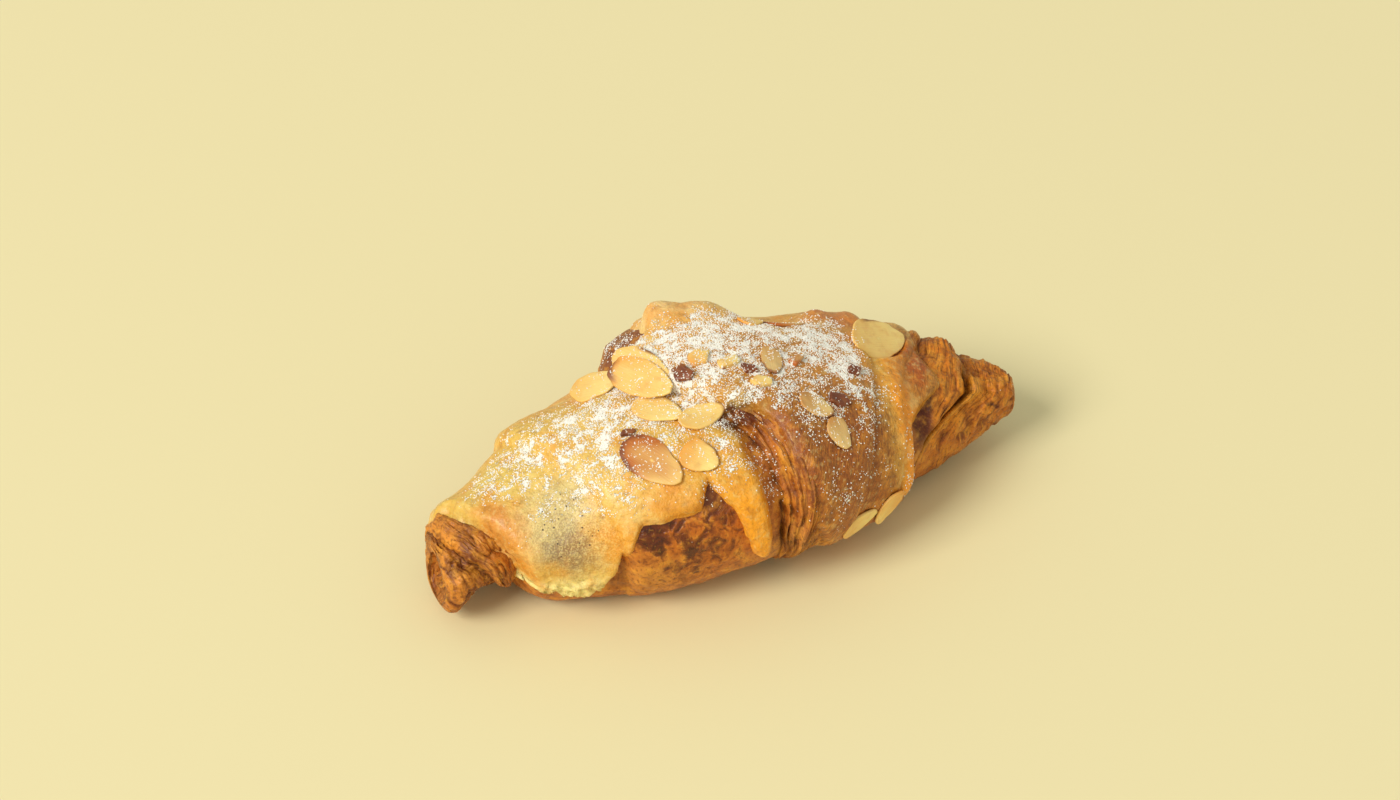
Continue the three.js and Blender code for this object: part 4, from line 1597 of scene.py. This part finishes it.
@dataclass(frozen=True)
class Pastry(Dressed):
    """The rolled dough with its flaky skin."""

    roll: Roll
    sugar: SugarFall
    cream: AlmondCream
    rows: tuple[int, ...] = (26, 40, 34, 36, 42, 26, 26, 34, 46)
    crowd: float = 1.35
    columns: tuple[tuple[float, float, int], ...] = (
        (-180, -125, 12), (-125, -84, 34), (-84, 24, 84), (24, 122, 118), (122, 180, 14),
    )
    wrap_widths: tuple[float, ...] = (7, 9, 22, 38, 22, 22, 16, 12, 24)
    wrap_shift: float = 13
    ends_from: Fade = (-6, 2)
    band_from: Fade = (20, 40)
    leafy_from: Fade = (5, 30)
    leafy_to: Fade = (120, 150)
    strap_from: Fade = (0, 20)
    end_rings: int = 18
    end_turns: float = 2
    pole_share: float = 0.05
    waves: Lumps = Lumps(11, (2.6, 20, 1))
    wave_height: float = 0.6
    plain_wave_height: float = 0.12
    grooves: tuple[Lumps, ...] = (Lumps(12, (2.2, 26, 1), 1.3), Lumps(13, (1.1, 15, 1), 0.35))
    breaks: Lumps = Lumps(17, 7, octaves=1)
    broken_from: Fade = (-0.25, 0.35)
    lumps: Lumps = Lumps(14, 8, 0.4)
    crags: Lumps = Lumps(15, 3)
    crag_height: float = 0.16
    pebbles: Lumps = Lumps(19, 1.7, 0.3, 2)
    wander: Lumps = Lumps(18, (4, 12, 1), octaves=2)
    strands_from: Fade = (25, 40)
    strand_pitch: float = 2.3
    strand_height: float = 0.7
    strand_wander: float = 1.2
    fold_pitch: float = 3.4
    fold_height: float = 0.8
    fold_slant: float = 0.8
    flute_level: float = 0.6
    folded: Spot = Spot(-43, 92, 7, 16)
    leaves: tuple[Lumps, ...] = (Lumps(20, 6.5, 1.3), Lumps(10, 2.6, 0.39))
    strap_creases: Lumps = Lumps(28, (2.4, 7, 1), 0.8)
    end_folds: Lumps = Lumps(16, (1.5, 11, 1), 1.2)
    right_tip: Fade = (58, 68)
    right_point: Fade = (74, 80)
    tip_crags: float = 0.3
    point_crags: float = 0.2
    tip_calm: float = 0.4
    leafy_calm: float = 0.6
    strap_calm: float = 0.45
    right_strap_from: Fade = (0, 25)
    right_strap_to: Fade = (98, 115)
    strap_profile: Triples = ((2.2, 2.8, 1.8), (-1.5, 0, 0.9))
    recess: Spot = Spot(53.5, 60, 4, 13)
    recess_depth: float = 1.8
    # Painted shade in deep relief and crevices, on the ends' rings and most at the poles; painted highlight
    # on raised relief.
    painted_shade_depth: Fade = (0.25, 1.5)
    painted_highlight_height: Fade = (0.2, 0.9)
    painted_shade_share: float = 0.95
    painted_highlight_share: float = 0.5
    crevice_step: float = 3
    crevice_reach: float = 1.5
    end_shade: float = 0.3
    pole_shade: float = 0.5
    sugar_share: float = 0.8
    sugar_edge: Fade = (0.5, 2)
    base: Colour = paint(192, 110, 35)
    patches: tuple[Patch, ...] = (
        Patch(-24, 82, 16, 24, 1, paint(190, 102, 24)), Patch(-36, 66, 5, 6, 1, paint(112, 54, 30)),
        Patch(-13.5, 67, 4, 8, 0.85, paint(78, 40, 26)), Patch(-40, 98, 14, 14, 1, paint(200, 128, 50)),
        Patch(-16, 118, 24, 10, 1, paint(186, 110, 36)), Patch(2, 66, 8, 34, 1, paint(196, 114, 40)),
        Patch(4, 104, 12, 12, 1, paint(196, 126, 58)), Patch(-2, 40, 4, 6, 1, paint(104, 50, 28)),
        Patch(5, 68, 2, 20, 0.6, paint(138, 82, 54)), Patch(-15, -45, 9, 22, 1, paint(142, 78, 42)),
        # Along the right strap's edge, from Patch(57, 76) to Patch(74.5, 24), painted highlight where light
        # falls on the edge.
        Patch(72, 20, 16, 70, 1, paint(212, 122, 26)), Patch(57, 76, 3.5, 8, 1, paint(242, 150, 30)),
        Patch(62, 69, 3.5, 8, 1, paint(242, 150, 30)), Patch(67, 61, 3.5, 10, 1, paint(242, 150, 30)),
        Patch(71.5, 46, 3, 14, 1, paint(242, 150, 30)), Patch(74.5, 24, 3, 16, 1, paint(238, 146, 30)),
        # Painted shade in the recess below the right strap.
        Patch(57.5, 50, 3, 8, 1, paint(72, 38, 14)), Patch(52.5, 63, 3.5, 12, 1, paint(66, 35, 13)),
        Patch(-78, 20, 9, 100, 1, paint(218, 136, 50)), Patch(-84, 20, 3, 60, 1, paint(234, 150, 52)),
        # Patch(-78, 108) is painted shade on the lower front of the left end.
        Patch(-78, 108, 5, 24, 0.8, paint(150, 82, 30)), Patch(-78.6, 38, 1.6, 16, 0.7, paint(132, 78, 56)),
        Patch(-76, 64, 1.6, 16, 0.7, paint(132, 78, 56)), Patch(-74.5, -2, 2.2, 14, 0.8, paint(98, 56, 42)),
        Patch(0, 180, 80, 40, 1, paint(194, 128, 58)),
    )
    mottles: tuple[Spot, ...] = (
        Spot(-23, 82, 17, 24, 0.62), Spot(-35, 68, 6, 9, 0.4), Spot(-80, 20, 6, 60, 0.26),
        Spot(54, 58, 6, 16, 0.5), Spot(80, 72, 7, 40, 0.5), Spot(-15, -45, 8, 20, 0.4),
        Spot(-4, 38, 5, 7, 0.6),
    )

    NAME = "pastry_crust"
    SLOT = Slot.CRUST
    NODE = "pastry"

    def flow(self, place: Place) -> Array:
        """Coordinates that follow the layers.

        Args:
            place: Places on the roll.

        Returns:
            Coordinates across the layers, along them and by wrap.
        """
        arc = np.radians(place.angle) * self.roll.spindle(place.x)
        widths = np.array(self.wrap_widths)[place.wrap]
        return np.stack([widths * place.inward / place.span, arc, self.wrap_shift * place.wrap], -1)

    def layered(self, place: Place) -> Array:
        """Share of the layers that shows: all of them on the bare ends and the band.

        Args:
            place: Places on the roll.

        Returns:
            Numbers from 0 to 1.
        """
        ends = smoothstep(np.abs(place.x) - self.roll.side(place.x, "bare_from"), *self.ends_from)
        band = (place.wrap == Roll.LAYERED) * smoothstep(place.angle, *self.band_from)
        return np.clip(ends + band, 0, 1)

    def left_end(self, place: Place) -> Array:
        """Share of the leafy folds that show beyond the left strap."""
        seen = smoothstep(place.angle, *self.leafy_from) * (1 - smoothstep(place.angle, *self.leafy_to))
        return (place.wrap == 0) * seen

    def right_strap(self, place: Place) -> Array:
        """Relief of the strap on the right end: its edge, the groove beside it and the recess below.

        Args:
            place: Places on the roll.

        Returns:
            Heights to add.
        """
        past = place.x - self.roll.lip_at(self.roll.right_lips[-1], place.angle)
        seen = smoothstep(place.angle, *self.right_strap_from)
        seen = seen * (1 - smoothstep(place.angle, *self.right_strap_to))
        edge = sum(high * np.exp(-(((past - at) / wide) ** 2)) for high, at, wide in self.strap_profile)
        return seen * edge - self.recess_depth * self.recess.share(place.x, place.angle)

    def flutes(self, across: Array, pitch: float) -> Array:
        """Rounded flutes side by side, about level with the skin on the whole."""
        return np.abs(np.sin(np.pi * across / pitch)) - self.flute_level

    def relief(self, place: Place, plain: Array) -> Array:
        """Fine relief of the layers, blisters and flakes.

        Args:
            place: Places on the roll.
            plain: Points of the plain skin.

        Returns:
            Heights to add.
        """
        flow = self.flow(place)
        waves = self.waves.at(flow)
        tip = smoothstep(place.x, *self.right_tip)
        leafy = self.left_end(place)
        strap = (place.wrap == 1) * smoothstep(place.angle, *self.strap_from)
        broken = smoothstep(self.breaks.at(plain), *self.broken_from)
        deep = self.wave_height * waves - broken * sum(one.creased(flow) for one in self.grooves)
        deep = deep * (1 - self.tip_calm * tip) * (1 - self.leafy_calm * leafy - self.strap_calm * strap)
        deep = deep - leafy * sum(one.creased(plain) for one in self.leaves)
        deep = deep - strap * self.strap_creases.creased(flow)
        point = smoothstep(place.x, *self.right_point)
        crags = self.crag_height + self.tip_crags * tip + self.point_crags * point
        rough = self.lumps.at(plain) + crags * self.crags.at(plain) + tip * self.pebbles.at(plain)
        wander = self.wander.at(flow)
        band = (place.wrap == Roll.LAYERED) * smoothstep(place.angle, *self.strands_from)
        strands = self.flutes(flow[..., 0] + self.strand_wander * wander, self.strand_pitch)
        folds = self.flutes(place.x - self.fold_slant * flow[..., 1] + wander, self.fold_pitch)
        folded = self.folded.share(place.x, place.angle)
        fluted = self.strand_height * band * strands + self.fold_height * folded * folds
        layers = lerp(self.plain_wave_height * waves, deep, self.layered(place))
        return layers + rough + fluted + self.right_strap(place)

    @property
    def end_shares(self) -> Array:
        """Shares of the radius at the rings that close an end."""
        return np.linspace(1, self.pole_share, self.end_rings + 1)[1:, None]

    def end_flow(self, tip: Tip, angles: Array) -> Array:
        """Coordinates that follow the spiral of the dough on an end.

        Args:
            tip: The end.
            angles: Angles of the columns.

        Returns:
            Coordinates across and along the layers, from the rim to the pole.
        """
        radius = tip.roll * tip.end_share * self.end_shares
        pitch = tip.roll * tip.end_share / self.end_turns
        spiral = radius + pitch * angles / 360
        return np.stack([spiral, np.radians(angles) * radius, 0 * spiral + tip.end], -1)

    def end(self, tip: Tip, angles: Array) -> Array:
        """Rings that close an end, hollowed and grooved by the spiral of the dough.

        Args:
            tip: The end.
            angles: Angles of the columns.

        Returns:
            Points, from the rim to the pole.
        """
        shares = self.end_shares
        edge = self.roll.end_at(tip, angles) + 0 * shares
        turn = np.cos(np.radians(angles * np.sign(tip.end) + 360 * self.end_turns * shares))
        rim = self.roll.lift(self.roll.place(edge, angles + 0 * shares))
        points = self.roll.skin(edge, angles + 0 * shares, rim, shares)
        folds = self.end_folds.creased(self.end_flow(tip, angles))
        inward = tip.hollow * (1 - shares**2) + (tip.groove * (1 + turn) + folds) * (1 - shares**6)
        ahead = unit(self.roll.spine(np.array(tip.end + 0.5)) - self.roll.spine(np.array(tip.end - 0.5)))
        return points - np.sign(tip.end) * inward[..., None] * ahead

    def surface(self) -> Surface:
        """Works out the skin.

        Returns:
            The skin with its colours.
        """
        angles = np.concatenate([np.linspace(a, b, n, endpoint=False) for a, b, n in self.columns])
        place = self.roll.grid(angles, self.rows, self.crowd)
        lift = self.roll.lift(place)
        plain = self.roll.skin(place.x, place.angle, lift)
        relief = self.relief(place, plain)
        body = self.roll.skin(place.x, place.angle, lift + relief)
        tips = (self.roll.left, self.roll.right)
        ends = [self.end(tip, angles) for tip in tips]
        rows = np.concatenate([ends[0][::-1], body, ends[1]])
        points = np.concatenate([rows.reshape(-1, 3), *(ring[-1].mean(0)[None] for ring in ends)])
        x, angle = self.roll.locate(points)
        # Painted shade: darker in crevices and deep relief, on the ends' rings and most at the poles;
        # painted highlight: lighter on raised relief.
        dark = np.maximum(self.crevice_shade(place), smoothstep(-relief, *self.painted_shade_depth))
        dark = self.over_all(dark, self.end_shade, self.pole_shade)
        painted_highlight = self.over_all(smoothstep(relief, *self.painted_highlight_height), 0, 0)
        tint = painted(self.base, self.patches, x, angle, points)
        tint = lerp(tint, np.array(CrustFinish.dark), self.painted_shade_share * dark[:, None])
        tint = lerp(tint, np.array(CrustFinish.glow), self.painted_highlight_share * painted_highlight[:, None])
        turns = [self.end_flow(tip, angles) for tip in tips]
        flow = np.concatenate([turns[0][::-1], self.flow(place), turns[1]]).reshape(-1, 3)
        extra = {
            "char": sum(spot.share(x, angle) for spot in self.mottles),
            "flow": np.concatenate([flow, np.zeros((2, 3))]),
            "layered": self.over_all(self.layered(place), 1, 1),
        }
        bare = 1 - smoothstep(self.cream.inside(x, angle), *self.sugar_edge)
        sugar = self.sugar_share * bare * self.sugar.density(self.roll, points)
        return Surface(points, tube_faces(len(rows), len(angles)), tint, sugar, extra)

    def over_all(self, body: Array, end: float, pole: float) -> Array:
        """Numbers of the body's points, with one number for the ends' rings and one for the poles."""
        rings = np.full(self.end_rings * body.shape[1], float(end))
        return np.concatenate([rings, body.ravel(), rings, [pole, pole]])

    def crevice_shade(self, place: Place) -> Array:
        """Painted shade in the folds, deepest at the foot of the next wrap's edge.

        Args:
            place: Places on the roll.

        Returns:
            Numbers from 0 to 1.
        """
        steps = np.array([lip.step for lip in self.roll.lips])[Roll.NEXT[place.wrap]]
        from_foot = place.span - place.inward
        return np.clip(steps / self.crevice_step, 0, 1) * np.exp(-from_foot / self.crevice_reach)


@dataclass(frozen=True)
class Chip:
    """Place, size and look of one small chip of almond on the cream."""

    x: float
    angle: float
    heading: float
    length: float
    width: float
    toast: Toast
    skin_arc: float = 150
    corners: int = 4


@dataclass(frozen=True)
class AlmondChips(Dressed):
    """Small broken chips of almond, baked into the cream."""

    roll: Roll
    sugar: SugarFall
    cream: AlmondCream
    thick: float = 1.9
    sunk: float = 0.55
    cut: Cut = Cut(jag=0.12, curl=0.1, columns=32, rings=6)
    skin_turn: float = 40
    first_seed: int = 100
    chips: tuple[Chip, ...] = (
        Chip(-24.5, 22, 20, 5, 2.2, Toast.DARK), Chip(-8, 9, 60, 6.5, 5, Toast.DARK, 230, 5),
        Chip(-4, 3, -15, 7, 6, Toast.GOLDEN, 60, 5), Chip(0, 12.5, -10, 8.5, 4.5, Toast.PALE, 120),
        Chip(2.6, 20, 40, 5.5, 3.2, Toast.DARK, 360), Chip(3.2, 29, 15, 6.5, 4.4, Toast.PALE, 40, 5),
        Chip(12.5, 19, -30, 6.5, 2.8, Toast.BROWN, 180), Chip(18, 44, 20, 7, 4.6, Toast.DARK, 360, 5),
        Chip(27, 28, 10, 5, 4, Toast.DARK, 360),
    )

    NAME = "almond_chips"
    SLOT = Slot.ALMOND
    NODE = "almond_cream"

    def flake(self, chip: Chip) -> Flake:
        """Lays a chip on the cream.

        Args:
            chip: The chip.

        Returns:
            The chip's middle, axes and sizes.
        """
        reach = chip.length / 3
        turn = math.degrees(reach / float(self.roll.radius(np.array(chip.x), np.array(chip.angle))))
        xs = chip.x + np.array([0, 1, -1, 0, 0]) * reach
        angles = chip.angle + np.array([0, 0, 0, 1, -1]) * turn
        points = self.cream.face(xs, angles)[0]
        along, around = unit(points[1] - points[2]), unit(points[3] - points[4])
        out = unit(np.cross(around, along))
        heading = math.radians(chip.heading)
        ahead = along * math.cos(heading) + around * math.sin(heading)
        ahead = unit(ahead - out * (ahead @ out))
        centre = points[0] + out * (self.thick / 2 - self.sunk)
        return Flake(centre, ahead, np.cross(out, ahead), out, chip.length / 2, chip.width / 2, self.thick)

    def surface(self) -> Surface:
        """Works out the chips.

        Returns:
            The chips with their colours.
        """
        parts = []
        for number, chip in enumerate(self.chips):
            look = Look(chip.toast, self.skin_turn * number, chip.skin_arc)
            cut = replace(self.cut, corners=chip.corners)
            flake = self.flake(chip)
            parts.append(flake.surface(self.roll, self.sugar, look, cut, self.first_seed + number))
        return joined(parts)


def joined(parts: list[Surface]) -> Surface:
    """One surface of several, with the attributes that they share.

    Args:
        parts: The surfaces.

    Returns:
        The joined surface.
    """
    faces, start = [], 0
    for part in parts:
        faces += [[start + number for number in face] for face in part.faces]
        start += len(part.points)
    shared = set.intersection(*(set(part.extra) for part in parts))
    extra = {label: np.concatenate([part.extra[label] for part in parts]) for label in sorted(shared)}
    points, tint, sugar = (
        np.concatenate([getattr(part, label) for part in parts]) for label in ("points", "tint", "sugar")
    )
    return Surface(points, faces, tint, sugar, extra)


@dataclass(frozen=True)
class IcingSugar:
    """Loose grains of icing sugar, strewn over the other pieces by a node tree."""

    grain: float = 0.32
    smallest: float = 0.3
    segments: int = 4
    rings: int = 2
    per_square_mm: float = 11.0
    heaping: float = 1.8
    seed: int = 7

    def tree(self, material: bpy.types.Material) -> tuple[bpy.types.NodeTree, dict[str, str]]:
        """Builds the node tree that strews the grains.

        Args:
            material: Finish of the grains.

        Returns:
            The tree, and the identifier of each of its inputs.
        """
        tree = bpy.data.node_groups.new("strewn_sugar", "GeometryNodeTree")
        tree.interface.new_socket("Surface", in_out="INPUT", socket_type="NodeSocketGeometry")
        tree.interface.new_socket("Grains", in_out="OUTPUT", socket_type="NodeSocketGeometry")
        kinds = {"Grain size": "Float", "Grains per area": "Float", "Seed": "Int"}
        inputs = {
            name: tree.interface.new_socket(name, in_out="INPUT", socket_type="NodeSocket" + kind).identifier
            for name, kind in kinds.items()
        }

        def drawn(low: float, high: float) -> bpy.types.Node:
            """Adds a node that draws three numbers for each grain.

            Args:
                low: The least number.
                high: The largest number.

            Returns:
                The node.
            """
            node = tree.nodes.new("FunctionNodeRandomValue")
            node.data_type = "FLOAT_VECTOR"
            node.inputs["Min"].default_value = (low,) * 3
            node.inputs["Max"].default_value = (high,) * 3
            return node

        start, stop = tree.nodes.new("NodeGroupInput"), tree.nodes.new("NodeGroupOutput")
        thickness = tree.nodes.new("GeometryNodeInputNamedAttribute")
        thickness.inputs["Name"].default_value = "sugar"
        heaped, density = tree.nodes.new("ShaderNodeMath"), tree.nodes.new("ShaderNodeMath")
        heaped.operation, density.operation = "POWER", "MULTIPLY"
        heaped.inputs[1].default_value = self.heaping
        strew = tree.nodes.new("GeometryNodeDistributePointsOnFaces")
        grain = tree.nodes.new("GeometryNodeMeshUVSphere")
        grain.inputs["Segments"].default_value = self.segments
        grain.inputs["Rings"].default_value = self.rings
        size, turn = drawn(self.smallest, 1.0), drawn(0.0, 2 * math.pi)
        put = tree.nodes.new("GeometryNodeInstanceOnPoints")
        real = tree.nodes.new("GeometryNodeRealizeInstances")
        finish = tree.nodes.new("GeometryNodeSetMaterial")
        finish.inputs["Material"].default_value = material
        links = (
            (start.outputs["Surface"], strew.inputs["Mesh"]),
            (thickness.outputs["Attribute"], heaped.inputs[0]),
            (heaped.outputs[0], density.inputs[0]),
            (start.outputs["Grains per area"], density.inputs[1]),
            (density.outputs[0], strew.inputs["Density"]),
            (start.outputs["Seed"], strew.inputs["Seed"]),
            (start.outputs["Grain size"], grain.inputs["Radius"]),
            (strew.outputs["Points"], put.inputs["Points"]),
            (grain.outputs["Mesh"], put.inputs["Instance"]),
            (size.outputs["Value"], put.inputs["Scale"]),
            (turn.outputs["Value"], put.inputs["Rotation"]),
            (put.outputs["Instances"], real.inputs["Geometry"]),
            (real.outputs["Geometry"], finish.inputs["Geometry"]),
            (finish.outputs["Geometry"], stop.inputs["Grains"]),
        )
        for source, target in links:
            tree.links.new(source, target)
        return tree, inputs

    def build(self, surface: Surface, material: bpy.types.Material) -> bpy.types.Object:
        """Makes the piece.

        Args:
            surface: What the sugar falls on.
            material: Its finish.

        Returns:
            The piece.
        """
        piece = bpy.data.objects.new("icing_sugar_grains", surface.mesh("sugared_surface"))
        bpy.context.scene.collection.objects.link(piece)
        tree, inputs = self.tree(material)
        strewn = piece.modifiers.new("strewn", "NODES")
        strewn.node_group = tree
        strewn[inputs["Grain size"]] = self.grain * METRES
        strewn[inputs["Grains per area"]] = self.per_square_mm / METRES**2
        strewn[inputs["Seed"]] = self.seed
        evaluated = piece.evaluated_get(bpy.context.evaluated_depsgraph_get())
        grains = bpy.data.meshes.new_from_object(evaluated)
        piece.modifiers.remove(strewn)
        piece.data = grains
        return settle(piece, Slot.SUGAR)


@dataclass(frozen=True)
class Lamp:
    """A square soft light that faces the middle of the croissant."""

    name: str
    place: tuple[float, float, float]
    size: float
    power: float
    tint: Colour

    AIM = Vector((0, 0, 0.02))

    def hang(self) -> None:
        """Adds the light to the scene."""
        data = bpy.data.lights.new(self.name, "AREA")
        data.size, data.energy, data.color = self.size, self.power, self.tint
        lamp = bpy.data.objects.new(self.name, data)
        lamp.location = self.place
        lamp.rotation_euler = (self.AIM - Vector(self.place)).to_track_quat("-Z", "Y").to_euler()
        bpy.context.scene.collection.objects.link(lamp)


@dataclass(frozen=True)
class Studio:
    """Pale floor, soft light and the camera."""

    azimuth: float = -26.4
    elevation: float = 40.0
    distance: float = 0.9
    lens: float = 85.0
    sensor: float = 36.0
    image: tuple[int, int] = (1400, 800)
    target: tuple[float, float, float] = (-0.00153, 0.00242, 0.02)
    target_pixel: tuple[float, float] = (717, 455)
    floor_size: float = 6.0
    room_tint: Colour = (0.965, 1.0, 0.915)
    room_strength: float = 0.52
    lamps: tuple[Lamp, ...] = (
        Lamp("key", (-4.5, -1.2, 4.0), 2.7, 278.0, (1.0, 0.972, 0.955)),
        Lamp("fill", (0.6, -5.8, 4.2), 3.8, 18.0, (1.0, 0.978, 0.955)),
    )

    def camera(self) -> None:
        """Sets the camera up so that the target falls on its pixel of the image."""
        a, e = math.radians(self.azimuth), math.radians(self.elevation)
        back = Vector((math.sin(a) * math.cos(e), -math.cos(a) * math.cos(e), math.sin(e)))
        right = Vector((math.cos(a), math.sin(a), 0))
        up = back.cross(right)
        per_pixel = self.distance * self.sensor / self.lens / self.image[0]
        across = (self.target_pixel[0] - self.image[0] / 2) * per_pixel
        down = (self.target_pixel[1] - self.image[1] / 2) * per_pixel
        data = bpy.data.cameras.new("camera")
        data.lens, data.sensor_width = self.lens, self.sensor
        camera = bpy.data.objects.new("camera", data)
        camera.location = Vector(self.target) + back * self.distance - right * across + up * down
        camera.rotation_euler = (-back).to_track_quat("-Z", "Y").to_euler()
        bpy.context.scene.collection.objects.link(camera)
        bpy.context.scene.camera = camera

    def build(self, card: bpy.types.Material) -> None:
        """Makes the floor, the lights and the camera.

        Args:
            card: Finish of the floor.
        """
        half = self.floor_size / 2
        mesh = bpy.data.meshes.new("floor")
        corners = [(-half, -half, 0), (half, -half, 0), (half, half, 0), (-half, half, 0)]
        mesh.from_pydata(corners, [], [(0, 1, 2, 3)])
        mesh.materials.append(card)
        floor = bpy.data.objects.new("floor", mesh)
        bpy.context.scene.collection.objects.link(floor)
        world = bpy.data.worlds.new("soft_room")
        world.use_nodes = True
        room = world.node_tree.nodes["Background"]
        room.inputs["Color"].default_value = (*self.room_tint, 1)
        room.inputs["Strength"].default_value = self.room_strength
        bpy.context.scene.world = world
        for lamp in self.lamps:
            lamp.hang()
        bpy.context.scene.view_settings.view_transform = "Standard"
        self.camera()


def main() -> None:
    """Builds the croissant piece by piece and dresses it."""
    logging.basicConfig(level=logging.INFO, format="%(name)s: %(message)s")
    roll, sugar = Roll(), SugarFall()
    slices = AlmondSlices(roll, sugar)
    cream = AlmondCream(roll, sugar, slices.flakes())
    almond = AlmondFinish().material()
    surfaces = [Pastry(roll, sugar, cream).build(CrustFinish().material())]
    surfaces.append(cream.build(CreamFinish().material()))
    surfaces += slices.build(almond)
    surfaces.append(AlmondChips(roll, sugar, cream).build(almond))
    IcingSugar().build(joined(surfaces), SugarFinish().material())
    Studio().build(FloorFinish().material())


if __name__ == "__main__":
    main()
